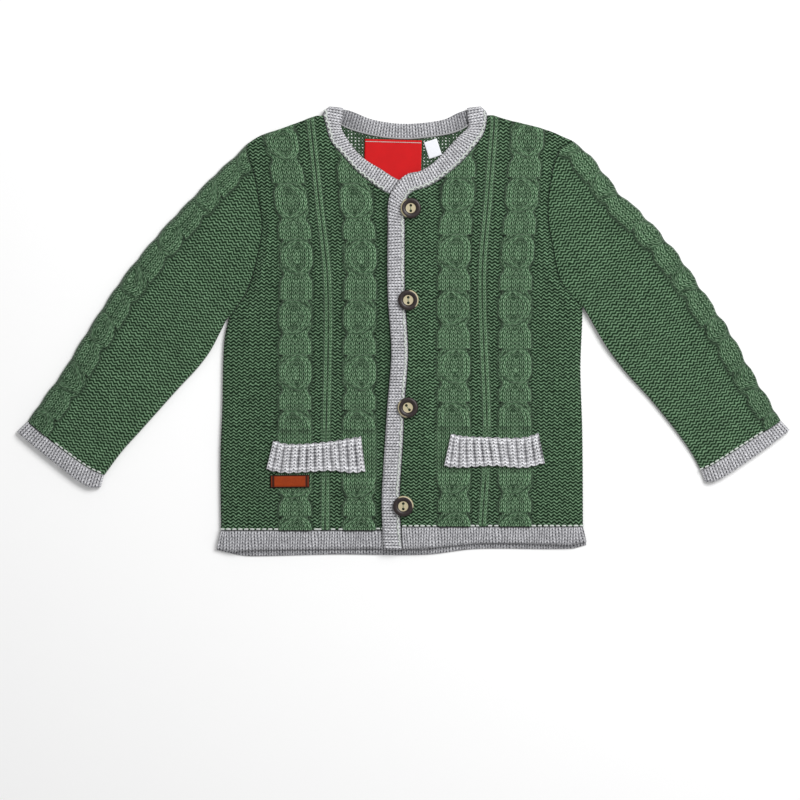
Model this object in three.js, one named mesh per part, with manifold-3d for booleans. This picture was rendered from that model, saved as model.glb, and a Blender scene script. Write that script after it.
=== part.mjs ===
// Trachten cardigan for a small child, knitted and cabled, laid flat with its front closed by four buttons.
// Millimetres, +Z up, +Y towards the neck. The underside of the back lies on z = 0.
// "Left" and "right" are the sides as seen from above, so the right front laps over the left one.
import * as THREE from 'three';
import { mergeVertices } from 'three/addons/utils/BufferGeometryUtils.js';
import Module from 'manifold-3d';

const wasm = await Module();
wasm.setup();

// Driving dimensions
const wall = 2.2; // knitted cloth of the fronts and sleeves
const backWall = 2.0; // cloth of the back and of the sleeves' underside
const gap = 0.3; // between pieces, at seams and where they lie on each other
const loft = 0.9; // how much the fronts stand off the back away from their outer seams
const loftRun = 12; // width over which they rise to it
const neckTop = 178; // where the fronts come down to the back again, at the neck
const underBand = 1.2; // how far the fronts end below the top of the shoulder seam
const bandCrown = 2.8; // height of a doubled grey band
const leftPressed = { height: wall, from: -18, run: 6 }; // left band under the right one, by x
const backPressed = { height: backWall, middle: 2, half: 40, run: 6 }; // back band between its covered ends
const lap = { lift: wall + gap, full: 21.5, none: 31 }; // the right front rises over the left one, by x
const edgeRound = { run: 3, side: 1.2, armhole: 0.4 }; // how far the cloth's edge drops at the outer seams
const cable = { half: 13.6, height: 2.4, rise: 0.25, valley: 0.68, ridgeHalf: 0.27 };
const strandFromMiddle = { crossed: 0.2, parted: 0.72 }; // shares of the cable's half width
const cableNotch = { depth: 0.12, run: 5 }; // each cable is narrower where its rings end
const cableStops = [-1, -0.78, -0.5, -0.22, 0, 0.22, 0.5, 0.78, 1];
const rib = { spread: 1.7, half: 3.8, height: 1.1 }; // two wales between the cables
const bandProfile = { across: [0, 0.14, 0.5, 0.86, 1], height: [0.45, 0.88, 1, 0.88, 0.45] };
const hemSections = { apart: 14, clearOfBend: 4, tapered: 0.06 };
const weltRib = { pitch: 6.8, height: 1.0, edgeDrop: 0.7, edgeShare: 0.1 };
const armFold = { in: 7, half: 5, height: 1.3, fade: 15 }; // soft fold beside each armhole seam
const rowSpacing = { corners: 0.2, rings: 3, pastLastRing: 20 }; // least distances between rows of points
const pointSpacing = { fromEdge: 0.8, apart: 0.4 };
const flatFold = { height: 2.3, round: 3, cavityIn: 4, slitLow: 2.0, slitHigh: 2.6 }; // sleeves and cuffs
const sleeveEdge = { drop: 0.9, run: 6, cableRun: 5 };
const sleeveCable = { height: 0.9, scallopRun: 9, inset: 0.35, reach: 10, fadeIn: 12, fadeOut: 20 };
const sleeveStops = { near: [6, 9.5, 13, 16.5, 22], far: [0.42, 0.62, 0.82], inside: [0.35, 0.65] };
const outwards = { x: 0.75, y: 0.66 }; // square to the upper folds
const cuffAcross = [0.04, 0.14, 0.32, 0.5, 0.68, 0.86, 0.96];
const cuffForm = { swell: 1.0, edgeDrop: 1.1, edgeShare: 12, cavity: 0.06, within: [0.3, 0.7] };
const alongSleeve = { x: 0.6, y: 0.8 }; // from the sleeve to the cuff
const button = { radius: 8.2, thick: 3.2, holeRadius: 0.9, holeFromCentre: 2.15 };
const patch = { x: -90, y: -121, width: 31.5, depth: 10.2, thick: 1.2 };
const neckLabel = { left: -30.5, right: 15, top: 152.4, bottom: 117, thick: 0.6 };
const sizeTag = { x: 24.4, y: 145.2, width: 10.6, depth: 13.8, thick: 0.6, turn: 18 };

// Derived heights
const outerBase = backWall + gap; // underside of the fronts at their outer seams
const frontBase = outerBase + loft;
const clamp = (v) => Math.min(1, Math.max(0, v));
const soft = (v) => clamp(v) ** 2 * (3 - 2 * clamp(v));

// A table has named columns and one row for each section
const table = (columns, rows) =>
  rows.map((row) => Object.fromEntries(columns.split(' ').map((name, i) => [name, row[i]])));

// Outer edges of the body, from the hem to the shoulder
const leftSide = table('y x', [[-160, -145.2], [-103, -145.7], [-62, -144.2], [-11, -142.8], [9.6, -139]]);
const rightSide = table('y x', [[-160, 144.4], [-82, 143.9], [-31, 142.4], [9.6, 143.9], [18.4, 143.9]]);
const leftArmhole = table('y x', [
  [9.6, -139], [31, -124.6], [57, -116.4], [82, -112.4],
  [102, -114.5], [125, -118.8], [140, -124], [148.8, -124.4],
]);
const rightArmhole = table('y x', [
  [18.4, 143.9], [27, 136], [41, 126], [66, 120.4],
  [92, 116.4], [118, 118.4], [143, 125.2], [151.2, 136.5],
]);
const leftShoulder = table('y x', [
  [148.8, -124.4], [156, -112.4], [161, -96.7], [168.8, -76.4], [173, -64.4],
]);
const rightShoulder = table('y x', [
  [151.2, 136.5], [153.6, 130.8], [160, 115.4], [167.7, 85.8], [173, 68.4],
]);
const neckCorner = { left: [-60, 170.6], right: [64, 170.6] }; // where the back meets its neckband

// Grey bands as sections, from the edge that is sewn on to the free edge
const leftNeckBand = table('sewnX sewnY freeX freeY', [
  [-58.8, 178.8, -47.6, 177.6],
  [-63.4, 173.6, -48, 170.4],
  [-61.6, 164.8, -49.2, 163.4],
  [-57.5, 151.2, -45.2, 154.4],
  [-48.4, 140, -38, 144.4],
  [-36.4, 126.7, -29.2, 136],
  [-25.2, 117.6, -18, 129.2],
  [-15.6, 111.2, -7.6, 122.4],
  [-5.2, 106.4, 2, 117.6],
  [6.8, 96, 18.8, 104],
]);
const leftEdgeBand = table('sewnX sewnY freeX freeY', [
  [6.8, 84, 20.4, 84],
  [6.8, 0, 20.4, 0],
  [6.8, -88, 20.4, -88],
  [6.8, -175.2, 20.4, -175.2],
]);
const rightNeckBand = table('sewnX sewnY freeX freeY', [
  [62.8, 178.8, 51.6, 177.6],
  [67.4, 173.6, 52, 170.4],
  [67, 165, 53, 163.4],
  [64.6, 156.6, 49.4, 159],
  [58.8, 148, 45.2, 155.2],
  [49.6, 136.8, 38.4, 148],
  [33.2, 122.6, 25.2, 134],
  [20.1, 114.4, 14, 127],
  [9.2, 111, 4.4, 124.8],
  [4.4, 107, -2.8, 119.4],
  [2, 98, -10.6, 106],
]);
const rightEdgeBand = table('sewnX sewnY freeX freeY', [
  [1.8, 80, -11.8, 80],
  [1.8, 32, -11.8, 24],
  [4.4, -16, -9, -20],
  [1.6, -56, -12.4, -64],
  [0.4, -88, -14.4, -96],
  [-2.4, -136, -16.6, -136],
  [-1.2, -160, -16, -160],
  [-0.4, -175.4, -15, -175.2],
]);
const backNeckBand = table('sewnX sewnY freeX freeY', [
  [-57.2, 169.6, -52.4, 177.4],
  [-46.3, 162.4, -42, 175.6],
  [-29.2, 156.8, -26, 169.2],
  [-11.6, 153.6, -10, 166],
  [6, 152.8, 5.2, 165.2],
  [23.6, 154.6, 22, 166.6],
  [37.2, 156.8, 34.8, 169.2],
  [47.6, 160.4, 44.4, 174],
  [61.2, 169.6, 55.6, 177.4],
]);

// Hems: where each band's lower edge runs, and the line where the fronts end
const hemTop = { left: -160, right: -157 };
const leftHem = table('x y', [
  [-148.7, -175.2], [-136, -177.4], [-121, -176.4], [-60, -175.4], [6.5, -174.9],
]);
const rightHem = table('x y', [
  [0.4, -175.2], [21.5, -174.2], [31, -173.6], [59, -171], [90, -170.8], [134.8, -172], [147.2, -169.8],
]);
const backHem = table('x y', [
  [-148.7, -176], [-131.6, -180], [-119, -181], [-54, -179.6],
  [18, -179.8], [59, -175.2], [134.8, -175], [147.2, -172],
]);
const leftHemTop = { from: -145.2, to: 6.5 };
const rightHemTop = { from: -0.8, to: 144.4 };
const backHemTop = { from: -145.2, to: 144.4 };

// Sleeves: the upper fold from the shoulder to the cuff, and the seam from the underarm to the cuff
const leftUpper = table('x y', [
  [-124.7, 148.8], [-135.6, 137.5], [-146.8, 127.6], [-170.8, 103], [-185.2, 88], [-204.4, 66],
  [-224.4, 40.8], [-243.6, 12], [-258.8, -12], [-270.8, -32], [-285.2, -52], [-300, -73],
]);
const leftLower = table('x y', [
  [-139.3, 9.6], [-145.8, 2], [-151.6, -13], [-162, -28], [-179, -46.4],
  [-194.8, -64], [-210, -81], [-224.4, -97], [-238.6, -116],
]);
const rightUpper = table('x y', [
  [136.8, 151.2], [146, 143.2], [158, 129.6], [174.3, 108.3], [191.6, 92.8], [202.8, 80.8], [223.3, 56],
  [237.6, 34.8], [250.8, 15.2], [262.8, -3.2], [274, -24], [284.4, -42.4], [302.8, -72.4],
]);
const rightLower = table('x y', [
  [144.2, 18.4], [151, 13], [156.5, 1], [163.6, -14], [178.4, -33.6],
  [198.8, -56], [219.2, -81.3], [231.6, -99], [238.6, -112],
]);
const leftCuffTop = table('x y', [[-300, -73], [-270.8, -96.8], [-248.4, -112], [-238.6, -116]]);
const rightCuffTop = table('x y', [[302.8, -72.4], [275.4, -90.4], [246.8, -108.3], [238.6, -112]]);
const leftCuffEnd = table('x y', [[-308.7, -81.3], [-281.2, -104], [-251.6, -125.2], [-241.6, -126]]);
const rightCuffEnd = table('x y', [[310, -80], [285.2, -98.4], [250, -120.8], [242, -121.4]]);

// Cables and ribs: their middles from the shoulder to the hem
const cableA = table('y x', [[152, -97.2], [106, -89.4], [60, -85.2], [0, -86], [-160, -86]]);
const cableB = table('y x', [[132, -39.6], [104, -37.2], [60, -34], [0, -34.4], [-160, -34.8]]);
const cableC = table('y x', [[132, 45.2], [108, 44.4], [64, 41.2], [-160, 41.2]]);
const cableD = table('y x', [[152, 99.6], [108, 95.6], [64, 92], [24, 90], [-160, 90]]);
const ribLeft = table('y x', [[170, -74], [104, -66.8], [32, -59.6], [-88, -61.2], [-160, -62]]);
const ribRight = table('y x', [[164, 73.2], [104, 68.4], [40, 63.6], [-88, 67.6], [-156, 63.6]]);

// Each ring of a cable opens at its top and closes at its bottom, with plain wales down to the next one.
// On the sleeves the places are lengths down the upper fold, from the shoulder.
const leftRings = table('top bottom', [
  [162.4, 136], [117.2, 88.8], [72.4, 44.4], [24, -3.6], [-20, -48], [-63.6, -134.4], [-148.8, -176],
]);
const rightRings = table('top bottom', [
  [166.4, 138.4], [122, 94], [76.4, 48.4], [31.6, 3.6], [-14.8, -42.8], [-57.6, -131.2], [-145.6, -173],
]);

const leftSleeveRings = table('top bottom', [
  [14, -12], [-34, -58], [-80, -104], [-127, -151], [-174, -198], [-221, -245], [-267, -291],
]);
const rightSleeveRings = table('top bottom', [
  [14, -10], [-33, -56], [-85, -109], [-132, -155], [-181, -201], [-225, -248], [-270, -293],
]);

// Pocket welts by their four edges, and the flat seats under the welts and the patch
const leftWelt = table('lowX lowY highX highY', [
  [-108.8, -111.6, -103.2, -88.4],
  [-95, -114.2, -92, -91.2],
  [-56.4, -112.6, -58, -89.2],
  [-40, -114.2, -42, -86.6],
  [-29.6, -113, -33.2, -85.2],
]);
const rightWelt = table('lowX lowY highX highY', [
  [33.2, -109, 38.8, -82.8],
  [45, -110, 46, -84.6],
  [72, -108.6, 68.4, -85.8],
  [98, -110, 96, -86],
  [113.6, -106.4, 108.6, -82.6],
]);
const seats = table('left right low high', [
  [-120, -17, -117, -82],
  [-110, -70, -128, -117],
  [24, 122, -113, -80],
]);
const seatFade = 4;

// Buttons: place of the middle, and the turn of the holes in degrees
const buttons = table('x y turn', [[6.6, 97.1, 0], [4.6, 23.7, 0], [4.3, -62.1, 35], [0.6, -140.8, 0]]);

// The value of a table at a place, through its rows with a soft curve
function along(rows, key, value) {
  const at = rows.map((r) => r[key]);
  const down = at[0] > at[at.length - 1];
  const ordered = down ? [...rows].reverse() : rows;
  const slope = (i) => {
    const a = ordered[Math.max(0, i - 1)];
    const b = ordered[Math.min(ordered.length - 1, i + 1)];
    return (b[value] - a[value]) / (b[key] - a[key]);
  };
  return (place) => {
    let i = 0;
    while (i < ordered.length - 2 && ordered[i + 1][key] < place) i += 1;
    const [a, b] = [ordered[i], ordered[i + 1]];
    const span = b[key] - a[key];
    const u = clamp((place - a[key]) / span);
    const [u2, u3] = [u * u, u * u * u];
    return (
      (2 * u3 - 3 * u2 + 1) * a[value] + (u3 - 2 * u2 + u) * span * slope(i) +
      (3 * u2 - 2 * u3) * b[value] + (u3 - u2) * span * slope(i + 1)
    );
  };
}

// Halves the spacing of a band's sections with a smooth curve through them
function refined(rows) {
  const curve = (x, y) =>
    new THREE.CatmullRomCurve3(rows.map((r) => new THREE.Vector3(r[x], r[y], 0)), false, 'centripetal');
  const [sewn, free] = [curve('sewnX', 'sewnY'), curve('freeX', 'freeY')];
  const count = 2 * (rows.length - 1);
  return Array.from({ length: count + 1 }, (_, i) => {
    const [s, f] = [sewn.getPoint(i / count), free.getPoint(i / count)];
    return { sewnX: s.x, sewnY: s.y, freeX: f.x, freeY: f.y };
  });
}

// Collects triangles, and closes a shape from rows of points {at: [x, y, z], t: place across}
class Skin {
  corners = [];

  triangle(a, b, c) {
    const same = (p, q) => Math.hypot(p[0] - q[0], p[1] - q[1], p[2] - q[2]) < 1e-4;
    if (!same(a, b) && !same(b, c) && !same(c, a)) this.corners.push(...a, ...b, ...c);
  }

  // Triangles between two rows, which may have different numbers of points
  zip(rowA, rowB, flipped = false) {
    let [i, j] = [0, 0];
    while (i < rowA.length - 1 || j < rowB.length - 1) {
      const nextA = i < rowA.length - 1 ? rowA[i + 1].t : Infinity;
      const nextB = j < rowB.length - 1 ? rowB[j + 1].t : Infinity;
      const [a, b] = [rowA[i].at, rowB[j].at];
      let c;
      if (nextA <= nextB) {
        i += 1;
        c = rowA[i].at;
      } else {
        j += 1;
        c = rowB[j].at;
      }
      if (flipped) this.triangle(b, a, c);
      else this.triangle(a, b, c);
    }
  }

  surface(rows, flipped) {
    for (let i = 0; i < rows.length - 1; i += 1) this.zip(rows[i], rows[i + 1], flipped);
  }

  geometry() {
    const loose = new THREE.BufferGeometry();
    loose.setAttribute('position', new THREE.Float32BufferAttribute(this.corners, 3));
    let volume = 0;
    const [a, b, c] = [new THREE.Vector3(), new THREE.Vector3(), new THREE.Vector3()];
    const place = loose.attributes.position;
    for (let i = 0; i < place.count; i += 3) {
      a.fromBufferAttribute(place, i);
      b.fromBufferAttribute(place, i + 1);
      c.fromBufferAttribute(place, i + 2);
      volume += a.dot(b.cross(c));
    }
    const merged = mergeVertices(loose, 1e-4);
    if (volume < 0) merged.index.array.reverse();
    merged.computeVertexNormals();
    return merged;
  }
}

// A closed slab of cloth between outer and inner rows that share their outline
function slab(outer, inner) {
  const skin = new Skin();
  skin.surface(outer, false);
  skin.surface(inner, true);
  skin.zip(inner[0], outer[0]);
  skin.zip(outer[outer.length - 1], inner[inner.length - 1]);
  const edge = (rows, end) => rows.map((row, i) => ({ at: end(row).at, t: i }));
  const [first, last] = [(row) => row[0], (row) => row[row.length - 1]];
  skin.zip(edge(outer, first), edge(inner, first));
  skin.zip(edge(inner, last), edge(outer, last));
  return skin.geometry();
}

// A flattened tube, open at both ends, from sections with an outer and an inner ring in two halves each
function tube(sections) {
  const skin = new Skin();
  const half = (name) => sections.map((section) => section[name]);
  skin.surface(half('outerTop'), false);
  skin.surface(half('outerBottom'), true);
  skin.surface(half('innerTop'), true);
  skin.surface(half('innerBottom'), false);
  const [start, end] = [sections[0], sections[sections.length - 1]];
  skin.zip(start.innerTop, start.outerTop);
  skin.zip(start.outerBottom, start.innerBottom);
  skin.zip(end.outerTop, end.innerTop);
  skin.zip(end.innerBottom, end.outerBottom);
  return skin.geometry();
}

// Relief of one cable: rings of two strands that part and meet again, on a soft ground
function cableRelief(x, y, middle, rings) {
  const k = rings.findIndex((ring, i) => y > (rings[i + 1]?.top ?? -Infinity));
  const ring = rings[k];
  const inRing = clamp((ring.top - y) / (ring.top - ring.bottom));
  const open = y > ring.top || y < ring.bottom ? 0 : Math.sqrt(Math.sin(Math.PI * inRing));
  const fromEnd = Math.min(Math.abs(y - ring.top), Math.abs(y - ring.bottom));
  const half = cable.half * (1 - cableNotch.depth * (1 - soft(fromEnd / cableNotch.run)));
  const across = Math.abs(x - middle) / half;
  const { crossed, parted } = strandFromMiddle;
  const ridge = Math.exp(-(((across - crossed - (parted - crossed) * open) / cable.ridgeHalf) ** 2));
  return cable.height * soft((1 - across) / cable.rise) * (cable.valley + (1 - cable.valley) * ridge);
}

function ribRelief(x, middle) {
  const from = Math.abs(Math.abs(x - middle) - rib.spread);
  return rib.height * soft((rib.half - rib.spread - from) / (rib.half - rib.spread));
}

// 1 on open cloth, 0 on the flat seats under the welts and the patch
function unpressed(x, y) {
  const away = (s) => Math.max(s.left - x, x - s.right, s.low - y, y - s.high) / seatFade;
  return Math.min(...seats.map((s) => soft(away(s))));
}

// Everything that describes one front: its outer edge, its inner edge, its cables and its rows
function makeFront({ sign, side, armhole, shoulder, band, edgeBand, cables, ribMiddle, rings, hem, fold }) {
  const parts = [side, armhole, shoulder].map((rows) => ({ rows, x: along(rows, 'y', 'x') }));
  const outerX = (y) => {
    const part = parts.find((p) => y <= p.rows[p.rows.length - 1].y) ?? parts[2];
    return part.x(y);
  };
  const innerLine = [...band, ...edgeBand].map((r) => ({ x: r.sewnX + sign * gap, y: r.sewnY }));
  const innerX = (y) => {
    const i = innerLine.findIndex((p, n) => n > 0 && p.y <= y);
    const [a, b] = [innerLine[i - 1], innerLine[i]];
    return a.x + ((b.x - a.x) * (y - a.y)) / (b.y - a.y);
  };
  const middles = cables.map((rows) => along(rows, 'y', 'x'));
  const ribX = along(ribMiddle, 'y', 'x');
  const armTop = armhole[armhole.length - 1].y;
  const [armLow, highest] = [armhole[0].y, shoulder[shoulder.length - 1].y - underBand];

  const base = (x, y) => {
    const fromSeam = sign * (outerX(Math.min(y, highest)) - x);
    const raised = loft * soft(fromSeam / loftRun) * soft((neckTop - y) / loftRun);
    const lifted = sign > 0 ? lap.lift * soft((lap.none - x) / (lap.none - lap.full)) : 0;
    return outerBase + raised + lifted;
  };
  const top = (x, y) => {
    const fromSeam = sign * (outerX(y) - x);
    const drop = y > armLow ? edgeRound.armhole : edgeRound.side;
    const rounded = drop * (1 - soft(fromSeam / edgeRound.run));
    const folded = armFold.height * soft(1 - Math.abs(fromSeam - armFold.in) / armFold.half) *
      soft((y - fold.low) / armFold.fade) * soft((fold.high - y) / armFold.fade);
    const raised = middles.reduce((sum, m) => sum + cableRelief(x, y, m(y), rings), ribRelief(x, ribX(y)));
    return base(x, y) + wall - rounded + folded + raised * unpressed(x, y);
  };

  // Rows lie at the corners of the outline first, then at each ring's quarters where there is room
  const ringRows = rings.flatMap((ring, i) => {
    const next = rings[i + 1]?.top ?? ring.bottom - rowSpacing.pastLastRing;
    const long = ring.top - ring.bottom;
    return [0, 0.25, 0.5, 0.75, 1].map((f) => ring.top - f * long).concat((ring.bottom + next) / 2);
  });
  const seatRows = seats.filter((s) => s.left * sign > 0)
    .flatMap((s) => [s.low - seatFade, s.low, s.high, s.high + seatFade]);
  const corners = [hem, armLow, armTop, highest, ...innerLine.map((p) => p.y), ...seatRows];
  const ys = [];
  const inSeat = (y) => seats.some((s) => s.left * sign > 0 && y > s.low && y < s.high);
  corners.filter((y) => y >= hem && y <= highest && !inSeat(y)).forEach((y) => {
    if (!ys.some((other) => Math.abs(other - y) < rowSpacing.corners)) ys.push(y);
  });
  ringRows.filter((y) => y > hem && y < highest && !inSeat(y)).forEach((y) => {
    if (!ys.some((other) => Math.abs(other - y) < rowSpacing.rings)) ys.push(y);
  });
  ys.sort((a, b) => b - a);

  const acrossCable = cableStops.map((f) => f * cable.half);
  const acrossRib = [-rib.half, -rib.spread, 0, rib.spread, rib.half];
  const [outer, inner] = [[], []];
  ys.forEach((y) => {
    const [from, to] = [outerX(y), innerX(y)].sort((a, b) => a - b);
    const fromOuter = [edgeRound.run, armFold.in, loftRun].map((d) => outerX(y) - sign * d);
    const lapped = sign > 0 ? [lap.full, (lap.full + lap.none) / 2, lap.none] : [];
    const marks = [
      ...fromOuter,
      ...lapped,
      ...middles.flatMap((m) => acrossCable.map((d) => m(y) + d)),
      ...acrossRib.map((d) => ribX(y) + d),
    ];
    const row = (xs, height) => {
      const [low, high] = [from + pointSpacing.fromEdge, to - pointSpacing.fromEdge];
      const kept = [...xs].sort((a, b) => a - b).filter((x) => x > low && x < high);
      const apart = kept.filter((x, i) => i === 0 || x - kept[i - 1] > pointSpacing.apart);
      return [from, ...apart, to].map((x) => ({ at: [x, y, height(x, y)], t: x }));
    };
    outer.push(row(marks, top));
    inner.push(row([...fromOuter, ...lapped], base));
  });
  const armholeLine = ys.filter((y) => y >= armLow && y <= armTop).map((y) => [outerX(y), y]);
  const outline = ys.map((y) => [outerX(y), y]);
  return { geometry: slab(outer, inner), base, top, armholeLine, outline };
}

// A band of ruled sections with a soft crown, lying on a base height
function bandStrip(sections, base, crown) {
  const at = (s, t, height) => {
    const [x, y] = [s.sewnX + (s.freeX - s.sewnX) * t, s.sewnY + (s.freeY - s.sewnY) * t];
    return { at: [x, y, base(x, y) + height * crown(x, y)], t };
  };
  const outer = sections.map((s) => bandProfile.across.map((t, i) => at(s, t, bandProfile.height[i])));
  const inner = sections.map((s) => [0, 0.5, 1].map((t) => at(s, t, 0)));
  return slab(outer, inner);
}

// A hem band below a line, from its upper edge to the table of its lower edge
function hemStrip(rows, topY, top, bends, base, crown) {
  const low = along(rows, 'x', 'y');
  const [first, last] = [rows[0].x, rows[rows.length - 1].x];
  const steps = Math.round((last - first) / hemSections.apart);
  const xs = Array.from({ length: steps + 1 }, (_, i) => first + ((last - first) * i) / steps)
    .filter((x) => bends.every((bend) => Math.abs(bend - x) > hemSections.clearOfBend));
  const sections = [...xs, ...bends].sort((a, b) => a - b).map((x) => {
    const u = (x - first) / (last - first);
    const narrow = top.from + (top.to - top.from) * u;
    const nearEnd = Math.min(u, 1 - u) < hemSections.tapered;
    return { sewnX: nearEnd ? narrow : x, sewnY: topY - gap, freeX: x, freeY: low(x) };
  });
  return bandStrip(sections, base, crown);
}

// A patch of surface between four edges: from the body to the cuff, and from the upper to the lower fold
function patchBetween(upper, lower, start, end) {
  const curve = (rows) => {
    const points = rows.map((r) => new THREE.Vector3(r.x, r.y, 0));
    const line = new THREE.CatmullRomCurve3(points, false, 'centripetal');
    line.arcLengthDivisions = 400;
    return line;
  };
  const [up, low, finish] = [curve(upper), curve(lower), curve(end)];
  const corner = [up.getPointAt(0), low.getPointAt(0), finish.getPointAt(0), finish.getPointAt(1)];
  const point = (s, t) => {
    const [u, l, c] = [up.getPointAt(s), low.getPointAt(s), finish.getPointAt(t)];
    const a = start(t);
    const blend = (axis) =>
      (1 - t) * u[axis] + t * l[axis] + (1 - s) * a[axis] + s * c[axis] -
      ((1 - s) * (1 - t) * corner[0][axis] + (1 - s) * t * corner[1][axis] +
        s * (1 - t) * corner[2][axis] + s * t * corner[3][axis]);
    return [blend('x'), blend('y')];
  };
  const widthAt = (s) => up.getPointAt(s).distanceTo(low.getPointAt(s));
  return { point, widthAt, length: up.getLength() };
}

// Places along a line of points by its length: the shares, and the point at a share
function measured(line) {
  const lengths = [0];
  for (let i = 1; i < line.length; i += 1) {
    lengths.push(lengths[i - 1] + Math.hypot(line[i][0] - line[i - 1][0], line[i][1] - line[i - 1][1]));
  }
  const shares = lengths.map((l) => l / lengths[lengths.length - 1]);
  const at = (t) => {
    const i = Math.min(line.length - 2, Math.max(0, shares.findIndex((s) => s >= t - 1e-9) - 1));
    const [a, b] = [line[i], line[i + 1]];
    const u = (t - shares[i]) / (shares[i + 1] - shares[i]);
    return { x: a[0] + (b[0] - a[0]) * u, y: a[1] + (b[1] - a[1]) * u };
  };
  return { shares, at };
}

// A sleeve: its cable runs along the upper fold and scallops the outline
function sleeveGeometry({ front, sign, upper, lower, cuffTop, fromFold, scallop, rings }) {
  const seamLine = measured(front.armholeLine.map(([x, y]) => [x + sign * gap, y]));
  const shape = patchBetween(upper, lower, seamLine.at, cuffTop);
  const ends = rings.flatMap((ring) => [-ring.top, -ring.bottom]);
  const stops = [0, ...ends.filter((d) => d > 0 && d < shape.length), shape.length];
  const places = stops.slice(1).flatMap((d, i) => [1, 2, 3].map((k) => stops[i] + ((d - stops[i]) * k) / 3));
  const relief = (down, distance) => sleeveCable.height * cableRelief(distance, -down, fromFold, rings);
  const bulgeAt = (down, s) => {
    const fromEnd = Math.min(...ends.map((end) => Math.abs(down - end)));
    const notched = soft(fromEnd / sleeveCable.scallopRun) - sleeveCable.inset;
    return scallop * notched * soft(s * sleeveCable.fadeIn) * soft((1 - s) * sleeveCable.fadeOut);
  };
  const sections = [0, ...places].map((down, i) => {
    const s = Math.min(1, down / shape.length);
    const width = shape.widthAt(s);
    const share = (distance) => distance / width;
    const [round, cavity] = [share(flatFold.round), share(flatFold.cavityIn)];
    const alongSeam = seamLine.shares.slice(1, -1);
    const spread = [round, ...sleeveStops.near.map(share), ...sleeveStops.far, 1 - round];
    const across = i === 0 ? alongSeam : spread;
    const bulge = bulgeAt(down, s);
    const at = (t, z) => {
      const [x, y] = shape.point(s, t);
      const outward = bulge * soft(1 - (t * width) / sleeveCable.reach);
      return { at: [x + sign * outward * outwards.x, y + outward * outwards.y, z], t };
    };
    const crown = (t) => {
      const fromEdge = Math.min(t, 1 - t) * width;
      const rounded = sleeveEdge.drop * (1 - soft(fromEdge / sleeveEdge.run));
      const raised = relief(down, t * width) * soft(fromEdge / sleeveEdge.cableRun);
      return flatFold.slitHigh + wall - rounded + raised;
    };
    const closed = (row) => [at(0, flatFold.height), ...row, at(1, flatFold.height)];
    const within = (i === 0 ? alongSeam : sleeveStops.inside).filter((t) => t > cavity && t < 1 - cavity);
    const inside = (z) => [
      at(cavity, flatFold.height),
      ...within.map((t) => at(t, z)),
      at(1 - cavity, flatFold.height),
    ];
    const below = i === 0 ? across : [round, 0.5, 1 - round];
    return {
      outerTop: closed(across.map((t) => at(t, crown(t)))),
      outerBottom: closed(below.map((t) => at(t, 0))),
      innerTop: inside(flatFold.slitHigh),
      innerBottom: inside(flatFold.slitLow),
    };
  });
  return tube(sections);
}

function cuffGeometry(cuffTop, cuffEnd, sign) {
  const curve = (rows, shift) => {
    const at = (r) => new THREE.Vector3(r.x + sign * shift * alongSleeve.x, r.y - shift * alongSleeve.y, 0);
    return new THREE.CatmullRomCurve3(rows.map(at), false, 'centripetal');
  };
  const [start, end] = [curve(cuffTop, gap), curve(cuffEnd, 0)];
  const sections = bandProfile.across.map((s, k) => {
    const at = (t, z) => {
      const p = start.getPointAt(t).lerp(end.getPointAt(t), s);
      return { at: [p.x, p.y, z], t };
    };
    const swell = cuffForm.swell * bandProfile.height[k];
    const crown = (t) => {
      const rounded = cuffForm.edgeDrop * (1 - soft(Math.min(t, 1 - t) * cuffForm.edgeShare));
      return flatFold.slitHigh + wall + swell - rounded;
    };
    const closed = (row) => [at(0, flatFold.height), ...row, at(1, flatFold.height)];
    const { cavity, within } = cuffForm;
    const inside = (z) => [
      at(cavity, flatFold.height),
      ...within.map((t) => at(t, z)),
      at(1 - cavity, flatFold.height),
    ];
    const below = [cuffAcross[0], 0.5, cuffAcross[cuffAcross.length - 1]];
    return {
      outerTop: closed(cuffAcross.map((t) => at(t, crown(t)))),
      outerBottom: closed(below.map((t) => at(t, 0))),
      innerTop: inside(flatFold.slitHigh),
      innerBottom: inside(flatFold.slitLow),
    };
  });
  return tube(sections);
}

// A pocket welt: ribbed outside, plain inside, lying on the flat seat of the front
function weltGeometry(rows, seatZ) {
  const curve = (x, y) =>
    new THREE.CatmullRomCurve3(rows.map((r) => new THREE.Vector3(r[x], r[y], 0)), false, 'centripetal');
  const [low, high] = [curve('lowX', 'lowY'), curve('highX', 'highY')];
  const count = 2 * Math.round(low.getLength() / weltRib.pitch);
  const section = (i, profile) => {
    const [a, b] = [low.getPointAt(i / count), high.getPointAt(i / count)];
    return profile.map(([t, h]) => ({ at: [a.x + (b.x - a.x) * t, a.y + (b.y - a.y) * t, h], t }));
  };
  const outer = [];
  const inner = [];
  for (let i = 0; i <= count; i += 1) {
    const ribbed = seatZ + wall + (i % 2) * weltRib.height;
    const [edge, inEdge] = [ribbed - weltRib.edgeDrop, weltRib.edgeShare];
    outer.push(section(i, [[0, edge], [inEdge, ribbed], [1 - inEdge, ribbed], [1, edge]]));
    inner.push(section(i, [[0, seatZ], [1, seatZ]]));
  }
  return slab(outer, inner);
}

// The back: a plain slab with the fronts' outline and the low neckline of the back band
function backGeometry(left, right) {
  const neck = refined(backNeckBand).map((r) => [r.sewnX, r.sewnY - gap]);
  const points = [
    [backHemTop.from, hemTop.left],
    ...[...left.outline].reverse().slice(1),
    neckCorner.left,
    ...neck,
    neckCorner.right,
    ...right.outline.slice(0, -1),
    [backHemTop.to, hemTop.left],
  ];
  const shape = new THREE.Shape(points.map(([x, y]) => new THREE.Vector2(x, y)));
  return new THREE.ExtrudeGeometry(shape, { depth: backWall, bevelEnabled: false });
}

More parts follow.
